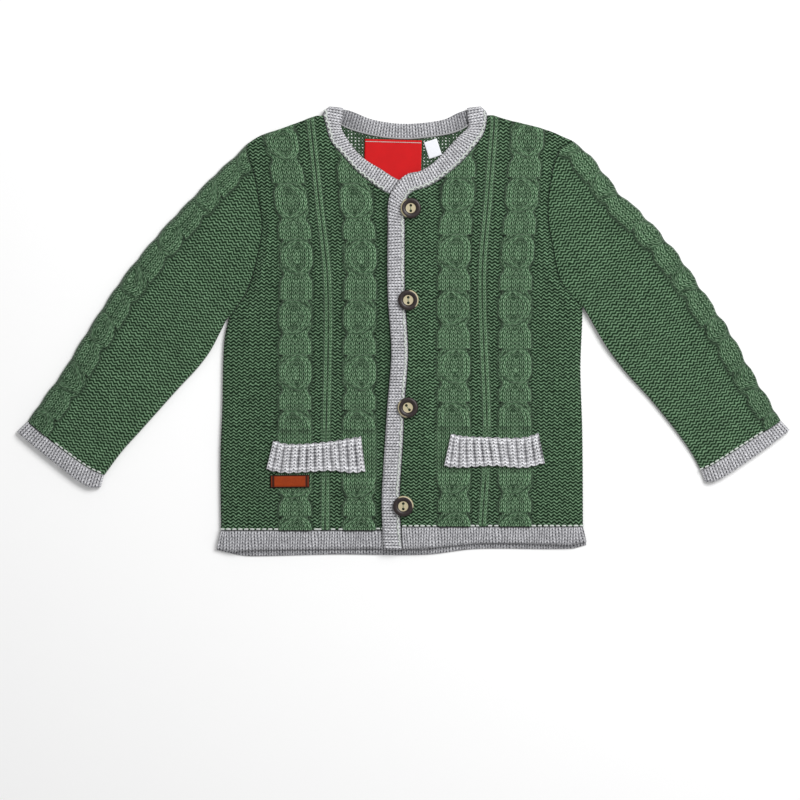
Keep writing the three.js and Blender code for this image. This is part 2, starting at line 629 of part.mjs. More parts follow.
// Boolean work on closed shapes
function toSolid(geometry) {
  const bare = geometry.clone();
  bare.deleteAttribute('normal');
  bare.deleteAttribute('uv');
  const merged = mergeVertices(bare, 1e-4);
  const [vertProperties, triVerts] = [merged.attributes.position.array, merged.index.array];
  return new wasm.Manifold(new wasm.Mesh({ numProp: 3, vertProperties, triVerts }));
}

function toGeometry(solid) {
  const mesh = solid.getMesh();
  const geometry = new THREE.BufferGeometry();
  geometry.setAttribute('position', new THREE.Float32BufferAttribute(mesh.vertProperties, 3));
  geometry.setIndex(Array.from(mesh.triVerts));
  geometry.computeVertexNormals();
  return geometry;
}

// A button: a thick dark rim round a sunk middle with two holes
function buttonGeometry() {
  const { radius, thick, holeRadius, holeFromCentre } = button;
  const profile = [
    [0, 0], [0.8 * radius, 0], [radius, 0.36 * thick], [radius, 0.66 * thick], [0.9 * radius, 0.96 * thick],
    [0.68 * radius, thick], [0.54 * radius, 0.72 * thick], [0, 0.66 * thick],
  ];
  const points = profile.map(([r, z]) => new THREE.Vector2(r, z));
  let solid = toSolid(new THREE.LatheGeometry(points, 24).rotateX(Math.PI / 2));
  [-1, 1].forEach((side) => {
    const hole = new THREE.CylinderGeometry(holeRadius, holeRadius, 4 * thick, 8).rotateX(Math.PI / 2);
    solid = solid.subtract(toSolid(hole.translate(0, side * holeFromCentre, 0)));
  });
  return toGeometry(solid);
}

// Materials
const cloth = (color) => new THREE.MeshStandardMaterial({ color, roughness: 0.95, metalness: 0 });
const materials = {
  green: () => cloth(0x4e7052),
  grey: () => cloth(0xaaa7ac),
  leather: () => new THREE.MeshStandardMaterial({ color: 0xa04119, roughness: 0.6, metalness: 0 }),
  red: () => cloth(0xc81419),
  white: () => cloth(0xf0f0ee),
  horn: () => new THREE.MeshStandardMaterial({ color: 0x2d1e20, roughness: 0.35, metalness: 0 }),
};

const cardigan = new THREE.Group();

function piece(name, geometry, material) {
  const mesh = new THREE.Mesh(geometry, material());
  mesh.name = name;
  cardigan.add(mesh);
  return mesh;
}

// Fronts
const [leftNeck, rightNeck] = [refined(leftNeckBand), refined(rightNeckBand)];
const leftFront = makeFront({
  sign: -1,
  side: leftSide,
  armhole: leftArmhole,
  shoulder: leftShoulder,
  band: leftNeck,
  edgeBand: leftEdgeBand,
  cables: [cableA, cableB],
  ribMiddle: ribLeft,
  rings: leftRings,
  hem: hemTop.left,
  fold: { low: 30, high: 100 },
});
const rightFront = makeFront({
  sign: 1,
  side: rightSide,
  armhole: rightArmhole,
  shoulder: rightShoulder,
  band: rightNeck,
  edgeBand: rightEdgeBand,
  cables: [cableC, cableD],
  ribMiddle: ribRight,
  rings: rightRings,
  hem: hemTop.right,
  fold: { low: 14, high: 90 },
});
piece('front_left', leftFront.geometry, materials.green);
piece('front_right', rightFront.geometry, materials.green);
piece('back', backGeometry(leftFront, rightFront), materials.green);

// Sleeves and cuffs
const leftSleeve = sleeveGeometry({
  front: leftFront,
  sign: -1,
  upper: leftUpper,
  lower: leftLower,
  cuffTop: leftCuffTop,
  fromFold: 6.5,
  scallop: 0.7,
  rings: leftSleeveRings,
});
const rightSleeve = sleeveGeometry({
  front: rightFront,
  sign: 1,
  upper: rightUpper,
  lower: rightLower,
  cuffTop: rightCuffTop,
  fromFold: 1.5,
  scallop: 1.6,
  rings: rightSleeveRings,
});
piece('sleeve_left', leftSleeve, materials.green);
piece('sleeve_right', rightSleeve, materials.green);
piece('cuff_left', cuffGeometry(leftCuffTop, leftCuffEnd, -1), materials.grey);
piece('cuff_right', cuffGeometry(rightCuffTop, rightCuffEnd, 1), materials.grey);

// Neck and edge bands: the left one is pressed flat where the right one lies on it
const crownFrom = (pressed, share) => pressed.height + (bandCrown - pressed.height) * soft(share);
const leftCrown = (x) => crownFrom(leftPressed, (leftPressed.from - x) / leftPressed.run);
const backCrown = (x) => {
  const fromEnd = backPressed.half - Math.abs(x - backPressed.middle);
  return crownFrom(backPressed, fromEnd / backPressed.run);
};
const fullCrown = () => bandCrown;
const leftBand = [...leftNeck, ...leftEdgeBand];
const rightBand = [...rightNeck, ...rightEdgeBand];
piece('edge_band_left', bandStrip(leftBand, leftFront.base, leftCrown), materials.grey);
piece('edge_band_right', bandStrip(rightBand, rightFront.base, fullCrown), materials.grey);
piece('neckband_back', bandStrip(refined(backNeckBand), () => 0, backCrown), materials.grey);

// Hem bands
const hemBase = (front, hem) => (x) => front.base(x, hem);
const leftHemBand = hemStrip(
  leftHem, hemTop.left, leftHemTop, [], hemBase(leftFront, hemTop.left), leftCrown,
);
const rightHemBand = hemStrip(
  rightHem, hemTop.right, rightHemTop, [lap.full, lap.none], hemBase(rightFront, hemTop.right), fullCrown,
);
const backHemBand = hemStrip(backHem, hemTop.left, backHemTop, [], () => 0, () => backWall);
piece('hem_left', leftHemBand, materials.grey);
piece('hem_right', rightHemBand, materials.grey);
piece('hem_back', backHemBand, materials.grey);

// Pocket welts, patch and labels
const seatZ = frontBase + wall + gap;
piece('pocket_welt_left', weltGeometry(leftWelt, seatZ), materials.grey);
piece('pocket_welt_right', weltGeometry(rightWelt, seatZ), materials.grey);

function plate(name, width, depth, thick, x, y, low, turn, material) {
  const mesh = piece(name, new THREE.BoxGeometry(width, depth, thick), material);
  mesh.position.set(x, y, low + thick / 2);
  mesh.rotation.z = THREE.MathUtils.degToRad(turn);
}
plate('hem_patch', patch.width, patch.depth, patch.thick, patch.x, patch.y, seatZ, 0, materials.leather);
const labelWidth = neckLabel.right - neckLabel.left;
const labelDepth = neckLabel.top - neckLabel.bottom;
const labelX = (neckLabel.left + neckLabel.right) / 2;
const labelY = (neckLabel.top + neckLabel.bottom) / 2;
plate('neck_label', labelWidth, labelDepth, neckLabel.thick, labelX, labelY, outerBase, 0, materials.red);
plate(
  'size_tag', sizeTag.width, sizeTag.depth, sizeTag.thick, sizeTag.x, sizeTag.y, outerBase, sizeTag.turn,
  materials.white,
);

// Buttons, just clear of the crown of the right band
const buttonLow = frontBase + lap.lift + bandCrown + gap;
buttons.forEach(({ x, y, turn }, i) => {
  const mesh = piece(`button_${i + 1}`, buttonGeometry(), materials.horn);
  mesh.position.set(x, y, buttonLow);
  mesh.rotation.z = THREE.MathUtils.degToRad(turn);
});

export default cardigan;
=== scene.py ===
import math

import bpy
import numpy as np
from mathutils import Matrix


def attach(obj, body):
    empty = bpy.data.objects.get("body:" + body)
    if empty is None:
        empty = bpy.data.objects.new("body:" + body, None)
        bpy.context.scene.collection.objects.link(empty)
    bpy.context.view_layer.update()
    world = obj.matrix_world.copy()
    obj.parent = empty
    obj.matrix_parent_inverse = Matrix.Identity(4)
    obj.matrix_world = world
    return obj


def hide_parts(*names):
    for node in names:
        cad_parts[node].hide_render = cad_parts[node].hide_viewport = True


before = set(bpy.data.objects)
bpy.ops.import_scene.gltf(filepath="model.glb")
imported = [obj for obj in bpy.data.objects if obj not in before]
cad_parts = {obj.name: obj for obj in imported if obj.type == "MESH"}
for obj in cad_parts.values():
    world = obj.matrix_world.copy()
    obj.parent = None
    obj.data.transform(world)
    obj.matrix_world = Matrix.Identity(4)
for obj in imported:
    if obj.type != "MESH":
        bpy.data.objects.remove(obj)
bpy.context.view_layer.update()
mm = 0.001

# What all the cloth shares, in millimetres. Left and right are as seen from above.
knit = dict(
    wall=2.2,
    back=2.0,
    gap=0.3,
    loft=0.9,
    loftRun=12,
    wale=4.35,  # width of a stitch on the purl ground
    course=2.7,  # height of a stitch
    purlDepth=0.42,
    veeDepth=0.3,
    ripple=0.22,  # how far the stitches show at a cut edge
)
lap = dict(lift=2.5, full=21.5, none=31)
outerBase = knit["back"] + knit["gap"]
frontBase = outerBase + knit["loft"]
seatZ = frontBase + knit["wall"] + knit["gap"]


def soft(v):
    v = np.clip(v, 0, 1)
    return v * v * (3 - 2 * v)


def wave(turns):  # 0 to 1, highest at whole turns
    return 0.5 + 0.5 * np.cos(2 * np.pi * turns)


def bell(distance, width):
    return np.exp(-((distance / width) ** 2))


def between(a, b, share):
    return a + (b - a) * share


def together(x, y, z):  # z may be one number
    return np.stack([x, y, np.broadcast_to(z, x.shape)], -1)


def curveThrough(rows):  # value at a place, through rows of (place, value)
    rows = np.array(sorted(rows), float)
    key, value = rows[:, 0], rows[:, 1]
    order = np.arange(len(key))
    before, after = np.maximum(order - 1, 0), np.minimum(order + 1, len(key) - 1)
    slope = (value[after] - value[before]) / (key[after] - key[before])

    def at(place):
        place = np.asarray(place, float)
        i = np.clip(np.searchsorted(key, place) - 1, 0, len(key) - 2)
        span = key[i + 1] - key[i]
        u = np.clip((place - key[i]) / span, 0, 1)
        bend = (u**3 - 2 * u**2 + u) * slope[i] + (u**3 - u**2) * slope[i + 1]
        return between(value[i], value[i + 1], soft(u)) + span * bend

    return at


def smoothLine(points, steps=10):  # centripetal curve through points
    p = np.array(points, float)
    p = np.vstack([2 * p[0] - p[1], p, 2 * p[-1] - p[-2]])
    line = []
    for i in range(1, len(p) - 2):
        d = [max(np.linalg.norm(p[j + 1] - p[j]) ** 0.5, 1e-4) for j in (i - 1, i, i + 1)]
        a, b = p[i], p[i + 1]
        t1 = ((a - p[i - 1]) / d[0] - (b - p[i - 1]) / (d[0] + d[1]) + (b - a) / d[1]) * d[1]
        t2 = ((b - a) / d[1] - (p[i + 2] - a) / (d[1] + d[2]) + (p[i + 2] - b) / d[2]) * d[1]
        u = (np.arange(steps) / steps)[:, None]
        line.append(a + t1 * u + (3 * (b - a) - 2 * t1 - t2) * u**2 + (2 * (a - b) + t1 + t2) * u**3)
    return np.vstack(line + [p[-2:-1]])


def evenly(line, count):  # the same line with points at even distances
    steps = np.linalg.norm(np.diff(line[:, :2], axis=0), axis=1)
    lengths = np.concatenate([[0], np.cumsum(steps)])
    places = np.linspace(0, lengths[-1], count)
    return np.stack([np.interp(places, lengths, line[:, k]) for k in range(line.shape[1])], axis=1), places


# Stitches as reliefs from 0 to 1. u counts wales and v counts courses, towards the hem.
purlWave = dict(swing=0.27, slant=0.04, corners=0.4)
sleeveWave = dict(swing=0.24, slant=0.02, corners=0.4)
cableVee = dict(slope=2.2, legs=0.5, groove=0.82, power=2.4, middle=0.5, dots=0.3)
bandVee = dict(slope=1.9, legs=0.28, groove=0.85, power=2.0, middle=0.12, dots=0.55)
weltVee = dict(slope=0.9, legs=0.35, groove=0.75, power=2.5, middle=0.15, dots=0.8)


def purlRelief(u, v, look=purlWave):
    crest = wave(v + look["swing"] * np.cos(2 * np.pi * u))
    crest = 0.5 + (crest - 0.5) * (1 - look["corners"] * (1 - wave(2 * u)))
    return crest * (1 - look["slant"] + look["slant"] * np.sin(2 * np.pi * u))


def veeRelief(u, v, look=cableVee):
    a = 2 * np.abs(u - np.floor(u) - 0.5)  # 0 in the middle of the wale, 1 between wales
    legs = 1 - look["legs"] * (1 - wave(v + look["slope"] * a / 2))
    dots = look["dots"] * wave(v + 0.5 * (np.round(u) % 2))  # every other wale is half a stitch lower
    groove = look["groove"] * a ** look["power"] * (1 - dots)
    return legs * (1 - groove) * (1 - look["middle"] * (1 - a) ** 2)


def purlDepth(u, v, look=purlWave):  # in millimetres
    return knit["purlDepth"] * (purlRelief(u, v, look) - 0.72)


def veeDepth(u, v):
    return knit["veeDepth"] * (veeRelief(u, v) - 0.6)


def drift(x, y):  # the rows and wales are never quite straight
    du = 0.10 * np.sin(x / 41 + y / 67) + 0.07 * np.sin(y / 23 + 1.3)
    dv = 0.30 * np.sin(x / 53 + 0.4) + 0.16 * np.sin(x / 19 + y / 47)
    return du, dv


def hollows(z, reach=4):  # how far each place lies below its surroundings
    around = z
    for _ in range(2):
        for axis in (0, 1):
            pad = [(reach + 1, reach) if k == axis else (0, 0) for k in (0, 1)]
            run = np.cumsum(np.pad(around, pad, "edge"), axis=axis)
            size, wide = around.shape[axis], 2 * reach + 1
            around = (run.take(range(wide, wide + size), axis) - run.take(range(size), axis)) / wide
    return around - z


class Cloth:  # collects grids of points into one closed mesh
    def __init__(self, name):
        self.name = name
        self.points, self.facts, self.quads, self.rims = [], [], [], []
        self.count = 0

    def grid(self, place, u=None, v=None, purl=1.0, deep=0.0, shade=0.0):  # in mm
        shape = place.shape[:2]
        u = place[..., 0] / knit["wale"] if u is None else u
        v = -place[..., 1] / knit["course"] if v is None else v
        facts = [np.broadcast_to(f, shape).ravel() for f in (u, v, purl, deep, shade)]
        self.points.append(place.reshape(-1, 3) * mm)
        self.facts.append(np.stack(facts, axis=1))
        ids = np.arange(shape[0] * shape[1]).reshape(shape) + self.count
        self.count += ids.size
        return ids

    def cover(self, ids, flipped=False):
        faces = np.stack([ids[:-1, :-1], ids[:-1, 1:], ids[1:, 1:], ids[1:, :-1]], axis=-1).reshape(-1, 4)
        self.quads.append(faces[:, ::-1] if flipped else faces)

    def wallBetween(self, a, b, flipped=False):  # two lines of as many points
        self.cover(np.stack([a, b], axis=1), flipped)

    def rim(self, loop):
        self.rims.append(np.asarray(loop))

    def curvedRim(self, fine, rough, picks, turned):  # rough has a point at each of fine's picks
        for k in range(len(picks) - 1):
            loop = np.concatenate([rough[k : k + 2], fine[picks[k] : picks[k + 1] + 1][::-1]])
            self.rim(loop[::-1] if turned else loop)

    def finish(self, material, slot, *nodes):
        points, facts = np.vstack(self.points), np.vstack(self.facts)
        quads = np.vstack(self.quads)
        loops = np.concatenate([quads.ravel()] + self.rims)
        totals = np.array([4] * len(quads) + [len(r) for r in self.rims])
        starts = np.concatenate([[0], np.cumsum(totals)[:-1]])
        mesh = bpy.data.meshes.new(self.name)
        mesh.vertices.add(len(points))
        mesh.vertices.foreach_set("co", points.astype(np.float32).ravel())
        mesh.loops.add(len(loops))
        mesh.loops.foreach_set("vertex_index", loops.astype(np.int32))
        mesh.polygons.add(len(totals))
        mesh.polygons.foreach_set("loop_start", starts.astype(np.int32))
        mesh.update(calc_edges=True)
        uv = mesh.uv_layers.new(name="knit")
        uv.data.foreach_set("uv", facts[loops, :2].astype(np.float32).ravel())
        # deep is painted shade on the knit and the pale horn on the buttons; shade is painted shade where
        # positive and painted highlight where negative
        for i, name in ((2, "purl"), (3, "deep"), (4, "shade")):
            layer = mesh.attributes.new(name, "FLOAT", "POINT")
            layer.data.foreach_set("value", facts[:, i].astype(np.float32))
        smooth = np.ones(len(totals), bool)
        smooth[len(quads):] = False
        mesh.polygons.foreach_set("use_smooth", smooth)
        mesh.validate()
        mesh.materials.append(material)
        return own(addObject(self.name, mesh), slot, *nodes)


def addObject(name, data):
    thing = bpy.data.objects.new(name, data)
    bpy.context.scene.collection.objects.link(thing)
    return thing


def own(thing, slot, *nodes):
    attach(thing, "root")
    if nodes:
        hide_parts(*nodes)
    return thing


def closedShell(cloth, top, under, picks=None, **facts):  # the two share their rows, not their columns
    # by default, painted shade in the hollows and painted highlight on the rises
    facts.setdefault("shade", hollows(top[..., 2]))
    a = cloth.grid(top, **facts)
    b = cloth.grid(under)
    turned = upward(top)
    cloth.cover(a, not turned)
    cloth.cover(b, turned)
    cloth.wallBetween(a[:, 0], b[:, 0], turned)
    cloth.wallBetween(a[:, -1], b[:, -1], not turned)
    if under.shape[1] == 2:
        picks = [0, top.shape[1] - 1]
    if picks is None:
        cloth.rim(np.concatenate([a[0, ::-1], b[0]])[:: 1 if turned else -1])
        cloth.rim(np.concatenate([a[-1], b[-1, ::-1]])[:: 1 if turned else -1])
    else:
        cloth.curvedRim(a[0], b[0], picks, not turned)
        cloth.curvedRim(a[-1], b[-1], picks, turned)


def layCloth(cloth, material, slot, node, flat, **more):
    cloth.finish(material, slot, node)


def upward(top):  # True when the grid's faces look up as they are wound
    r, c = top.shape[0] // 2, top.shape[1] // 2
    across, along = top[r, c + 1] - top[r, c], top[r + 1, c] - top[r, c]
    return across[0] * along[1] - across[1] * along[0] > 0


# Materials
def put(tree, socket, value):
    value = getattr(value, "output", value)
    if isinstance(value, bpy.types.NodeSocket):
        tree.links.new(value, socket)
    else:
        socket.default_value = value


def addNode(tree, kind, inputs=(), out=0, **options):  # its inputs are set or linked
    made = tree.nodes.new(kind)
    for option, value in options.items():
        setattr(made, option, value)
    for socket, value in dict(inputs).items():
        put(tree, made.inputs[socket], value)
    return made.outputs[out]


class Value:  # a number in a material, which adds and multiplies like any other
    def __init__(self, net, output):
        self.net, self.output = net, output

    def __add__(self, other):
        return self.net.calc("ADD", self, other)

    def __sub__(self, other):
        return self.net.calc("SUBTRACT", self, other)

    def __rsub__(self, other):
        return self.net.calc("SUBTRACT", other, self)

    def __mul__(self, other):
        return self.net.calc("MULTIPLY", self, other)

    def __pow__(self, other):
        return self.net.calc("POWER", self, other)

    def __abs__(self):
        return self.net.calc("ABSOLUTE", self)


class Net:  # short hands for the nodes of one material
    def __init__(self, name, **fixed):
        self.material = bpy.data.materials.new(name)
        self.material.use_nodes = True
        self.tree = self.material.node_tree
        self.shader = self.tree.nodes["Principled BSDF"].inputs
        for socket, value in fixed.items():
            self.shader[socket.replace("_", " ")].default_value = value

    def value(self, kind, inputs=(), out=0, **options):
        return Value(self, addNode(self.tree, kind, inputs, out, **options))

    def calc(self, operation, *numbers):
        return self.value("ShaderNodeMath", enumerate(numbers), operation=operation)

    def wave(self, turns):
        return self.calc("COSINE", turns * (2 * math.pi)) * 0.5 + 0.5

    def clamp(self, value):
        return self.calc("MINIMUM", self.calc("MAXIMUM", value, 0.0), 1.0)

    def blend(self, factor, a, b):  # of two numbers
        return self.value("ShaderNodeMix", dict(Factor=factor, A=a, B=b), "Result")

    def mix(self, factor, a, b, blend="MIX"):  # of two colours
        return addNode(self.tree, "ShaderNodeMix", dict(Factor=factor, A=a, B=b), "Result",
                       data_type="RGBA", blend_type=blend)

    def ramp(self, value, stops):
        colour = addNode(self.tree, "ShaderNodeValToRGB", dict(Fac=value))
        elements = colour.node.color_ramp.elements
        while len(elements) < len(stops):
            elements.new(0.5)
        for element, (place, tint) in zip(elements, stops):
            element.position, element.color = place, tint
        return colour

    def attribute(self, name):
        return self.value("ShaderNodeAttribute", out="Fac", attribute_name=name)

    def uv(self):
        both = addNode(self.tree, "ShaderNodeUVMap", uv_map="knit")
        return both, *(self.value("ShaderNodeSeparateXYZ", {0: both}, axis) for axis in (0, 1))

    def place(self):
        return addNode(self.tree, "ShaderNodeTexCoord", out="Object")

    def stretched(self, vector, scale):
        return addNode(self.tree, "ShaderNodeMapping", dict(Vector=vector, Scale=scale))

    def noise(self, vector, scale, detail=2.0, roughness=0.5):
        inputs = dict(Vector=vector, Scale=scale, Detail=detail, Roughness=roughness)
        return self.value("ShaderNodeTexNoise", inputs, "Fac")

    def perStitch(self, u, v):  # one random number for each stitch
        whole = [self.calc("FLOOR", turns) for turns in (u, v)]
        stitch = addNode(self.tree, "ShaderNodeCombineXYZ", enumerate(whole))
        return self.value("ShaderNodeTexWhiteNoise", dict(Vector=stitch), "Value")

    def finish(self, colour, roughness, height, strength, distance):
        inputs = dict(Strength=strength, Distance=distance, Height=height)
        normal = addNode(self.tree, "ShaderNodeBump", inputs)
        for socket, value in (("Base Color", colour), ("Roughness", roughness), ("Normal", normal)):
            put(self.tree, self.shader[socket], value)
        return self.material


def srgb(r, g, b):
    linear = (c / 255 / 12.92 if c < 10.3 else ((c / 255 + 0.055) / 1.055) ** 2.4 for c in (r, g, b))
    return *linear, 1


# For each kind: painted shade for the gaps between stitches, the yarn's own colour, painted highlight for the
# crests
knitColours = dict(
    purl=(srgb(4, 27, 8), srgb(53, 81, 55), srgb(114, 143, 114)),
    cable=(srgb(8, 28, 12), srgb(58, 87, 60), srgb(137, 166, 135)),
    grey=(srgb(36, 36, 40), srgb(154, 154, 158), srgb(239, 239, 242)),
    table=srgb(208, 214, 208),
)
yarn = dict(
    waver=0.3,  # in wales
    rowWaver=0.8,  # in courses
    slip=0.12,
    mottle=0.22,
    shaded=0.3,
    darkest=0.25,
    fibres=0.35,
    bumpSize=0.0005,
)
# The tint is the colour of the painted shade that the deep attribute mixes in
green = dict(melange=1.1, speck=0.3, paintedShadeTint=srgb(10, 34, 16), bump=0.7)
grey = dict(melange=1.15, speck=0.36, paintedShadeTint=srgb(66, 66, 70), bump=0.6)


def stops(kind, shadeTo, middleAt, highlightAt):  # colours over the relief: painted shade in the gaps, the yarn's own colour between, painted highlight on the crests
    gap, middle, crest = knitColours[kind]
    return [(0.0, gap), (shadeTo, gap), (middleAt, middle), (highlightAt, crest)]


def knitMaterial(name, look, vee, veeStops, purlStops, purlLook=purlWave, pinholes=0.0):
    net = Net(name, Sheen_Weight=0.25, Sheen_Roughness=0.45, Specular_IOR_Level=0.15)
    both, u, v = net.uv()
    u = u + (net.noise(net.stretched(both, (0.9, 0.9, 1)), 1.0) - 0.5) * yarn["waver"]
    v = v + (net.noise(net.place(), 260.0) - 0.5) * yarn["rowWaver"]
    v = v + net.perStitch(u, v * 0.2) * yarn["slip"]  # five stitches of a wale slip together
    swing, slant, corners = (purlLook[k] for k in ("swing", "slant", "corners"))
    crest = net.wave(v + net.wave(u) * (2 * swing))
    crest = (crest - 0.5) * (net.wave(u * 2) * corners + (1 - corners)) + 0.5
    wavy = crest * (net.wave(u - 0.25) * (2 * slant) + (1 - 2 * slant))
    a = abs(net.calc("FRACT", u) - 0.5) * 2
    legs = net.wave(v + a * (vee["slope"] / 2)) * vee["legs"] + (1 - vee["legs"])
    stagger = net.calc("MODULO", net.calc("ROUND", abs(u)), 2.0) * 0.5
    groove = a ** vee["power"] * (1 - net.wave(v + stagger) * vee["dots"])
    plain = legs * (1 - groove * vee["groove"]) * (1 - (1 - a) ** 2 * vee["middle"])
    purl = net.attribute("purl")
    pattern = net.blend(purl, plain, wavy)
    # the ramps paint shade into the stitches' gaps and highlight onto their crests
    colour = net.mix(purl, net.ramp(plain, veeStops), net.ramp(wavy, purlStops))
    fibres = net.noise(net.stretched(both, (2.2, 1.6, 1)), 1.6, 4.0, 0.75)
    each = net.perStitch(u, v)
    tone = (fibres - 0.5) * look["melange"] + (net.noise(net.place(), 42.0, 3.0) - 0.5) * yarn["mottle"] + 1
    # shade attribute: painted shade where positive, painted highlight where negative
    tone = tone + (each - 0.5) * look["speck"] - net.attribute("shade") * yarn["shaded"]
    tone = net.calc("MAXIMUM", tone, yarn["darkest"])
    even = addNode(net.tree, "ShaderNodeCombineColor", enumerate([tone] * 3))
    # deep attribute: painted shade, mixed towards the shade tint
    colour = net.mix(net.attribute("deep"), net.mix(1.0, colour, even, "MULTIPLY"), look["paintedShadeTint"])
    if pinholes:  # the pale table shows through between the loops
        holes = net.calc("GREATER_THAN", net.wave(u) * net.wave(v) * (each + pinholes), 0.8)
        colour = net.mix(holes, colour, knitColours["table"])
    height = fibres * yarn["fibres"] + pattern
    return net.finish(colour, fibres * 0.25 + 0.72, height, look["bump"], yarn["bumpSize"])


purlGreens, veeGreens = stops("purl", 0.3, 0.58, 0.95), stops("cable", 0.22, 0.5, 0.8)
softGreens = stops("purl", 0.18, 0.55, 1.0)
greys, paleGreys = stops("grey", 0.3, 0.68, 0.98), stops("grey", 0.22, 0.6, 0.97)
greenKnit = knitMaterial("greenKnit", green, cableVee, veeGreens, purlGreens)
sleeveGreen = dict(green, melange=1.35)
sleeveKnit = knitMaterial("sleeveKnit", sleeveGreen, cableVee, veeGreens, softGreens, sleeveWave)
insideKnit = knitMaterial("insideKnit", green, cableVee, veeGreens, purlGreens, pinholes=0.5)
greyKnit = knitMaterial("greyKnit", grey, bandVee, greys, greys)
weltGrey = knitMaterial("weltKnit", grey, weltVee, paleGreys, paleGreys)


def plainMaterial(name, colour, roughness, speck, scale, bump, **fixed):
    net = Net(name, **fixed)
    grain = net.noise(net.place(), scale, 4.0, 0.6)
    dark = tuple(c * (1 - speck) for c in colour[:3]) + (1,)
    return net.finish(net.mix(grain, dark, colour), grain * 0.15 + roughness, grain, bump, 0.0002)


thread = dict(roughness=0.7, scale=3000, bump=0.4, Sheen_Weight=0.2)
paleThread = plainMaterial("paleThread", srgb(206, 212, 206), speck=0.2, **thread)
greenThread = plainMaterial("greenThread", srgb(112, 134, 98), speck=0.3, **thread)
greyThread = plainMaterial("greyThread", srgb(166, 167, 168), 0.75, 0.3, 2200, 0.5, Sheen_Weight=0.2)
print("materials made")

# Outlines of the body, as in the CAD part: (y, x) from the hem to the neck
leftFrontShape = dict(
    sign=-1,
    hem=-160,
    side=[(-160, -145.2), (-103, -145.7), (-62, -144.2), (-11, -142.8), (9.6, -139)],
    armhole=[(9.6, -139), (31, -124.6), (57, -116.4), (82, -112.4), (102, -114.5), (125, -118.8), (140, -124),
             (148.8, -124.4)],
    shoulder=[(148.8, -124.4), (156, -112.4), (161, -96.7), (168.8, -76.4), (173, -64.4)],
    cables=[
        [(152, -97.2), (106, -89.4), (60, -85.2), (0, -86), (-160, -86)],
        [(132, -39.6), (104, -37.2), (60, -34), (0, -34.4), (-160, -34.8)],
    ],
    rib=[(170, -74), (104, -66.8), (32, -59.6), (-88, -61.2), (-160, -62)],
    rings=[(162.4, 136), (117.2, 88.8), (72.4, 44.4), (24, -3.6), (-20, -48), (-63.6, -134.4),
           (-148.8, -176)],
    foldFrom=30,
    foldTo=100,
)
rightFrontShape = dict(
    sign=1,
    hem=-157,
    side=[(-160, 144.4), (-82, 143.9), (-31, 142.4), (9.6, 143.9), (18.4, 143.9)],
    armhole=[(18.4, 143.9), (27, 136), (41, 126), (66, 120.4), (92, 116.4), (118, 118.4), (143, 125.2),
             (151.2, 136.5)],
    shoulder=[(151.2, 136.5), (153.6, 130.8), (160, 115.4), (167.7, 85.8), (173, 68.4)],
    cables=[
        [(132, 45.2), (108, 44.4), (64, 41.2), (-160, 41.2)],
        [(152, 99.6), (108, 95.6), (64, 92), (24, 90), (-160, 90)],
    ],
    rib=[(164, 73.2), (104, 68.4), (40, 63.6), (-88, 67.6), (-156, 63.6)],
    rings=[(166.4, 138.4), (122, 94), (76.4, 48.4), (31.6, 3.6), (-14.8, -42.8), (-57.6, -131.2),
           (-145.6, -173)],
    foldFrom=14,
    foldTo=90,
)

# Grey bands: sewnX, sewnY, freeX, freeY down to the hem
leftBandRows = [
    (-58.8, 178.8, -47.6, 177.6), (-63.4, 173.6, -48, 170.4), (-61.6, 164.8, -49.2, 163.4),
    (-57.5, 151.2, -45.2, 154.4), (-48.4, 140, -38, 144.4), (-36.4, 126.7, -29.2, 136),
    (-25.2, 117.6, -18, 129.2), (-15.6, 111.2, -7.6, 122.4), (-5.2, 106.4, 2, 117.6), (6.8, 96, 18.8, 104),
    (6.8, 84, 20.4, 84), (6.8, 0, 20.4, 0), (6.8, -88, 20.4, -88), (6.8, -175.2, 20.4, -175.2),
]
rightBandRows = [
    (62.8, 178.8, 51.6, 177.6), (67.4, 173.6, 52, 170.4), (67, 165, 53, 163.4), (64.6, 156.6, 49.4, 159),
    (58.8, 148, 45.2, 155.2), (49.6, 136.8, 38.4, 148), (33.2, 122.6, 25.2, 134), (20.1, 114.4, 14, 127),
    (9.2, 111, 4.4, 124.8), (4.4, 107, -2.8, 119.4), (2, 98, -10.6, 106), (1.8, 80, -11.8, 80),
    (1.9, 28, -11.8, 28), (4.4, -18, -9, -18), (1.5, -60, -12.1, -60), (0.2, -92, -14.2, -92),
    (-2.4, -136, -16.6, -136), (-1.2, -160, -16, -160), (-0.4, -175.4, -15, -175.2),
]
backBandRows = [
    (-57.2, 169.6, -52.4, 177.4), (-46.3, 162.4, -42, 175.6), (-29.2, 156.8, -26, 169.2),
    (-11.6, 153.6, -10, 166), (6, 152.8, 5.2, 165.2), (23.6, 154.6, 22, 166.6), (37.2, 156.8, 34.8, 169.2),
    (47.6, 160.4, 44.4, 174), (61.2, 169.6, 55.6, 177.4),
]

# Cables: two strands on each side of the middle, which part and meet again round every ring
cable = dict(
    half=13.4,
    height=2.5,
    wale=3.35,
    course=3.1,
    strand=8,  # width of the strand that shows on top round a ring
    arch=14,  # length in which a ring opens to its full width, and closes
    narrow=0.18,  # of its width where it begins
    edge=1.7,  # how fast a strand rises
    valley=0.7,
    notch=0.22,
    notchRun=7,
    lean=2.6,  # one strand crosses over the other
    # how dark the painted shade in the hole under each crossing is
    holeShade=0.55,
)


paintedStrandLines = [  # from the strand's edge, width, strength, and its share beside the rings; painted highlight where the strength is positive, painted shade where it is negative
    (1.3, 0.6, 1.3, 0.45), (4.6, 0.6, 0.9, 0), (3.0, 0.5, -0.9, 0), (6.2, 0.5, -0.7, 0),
]


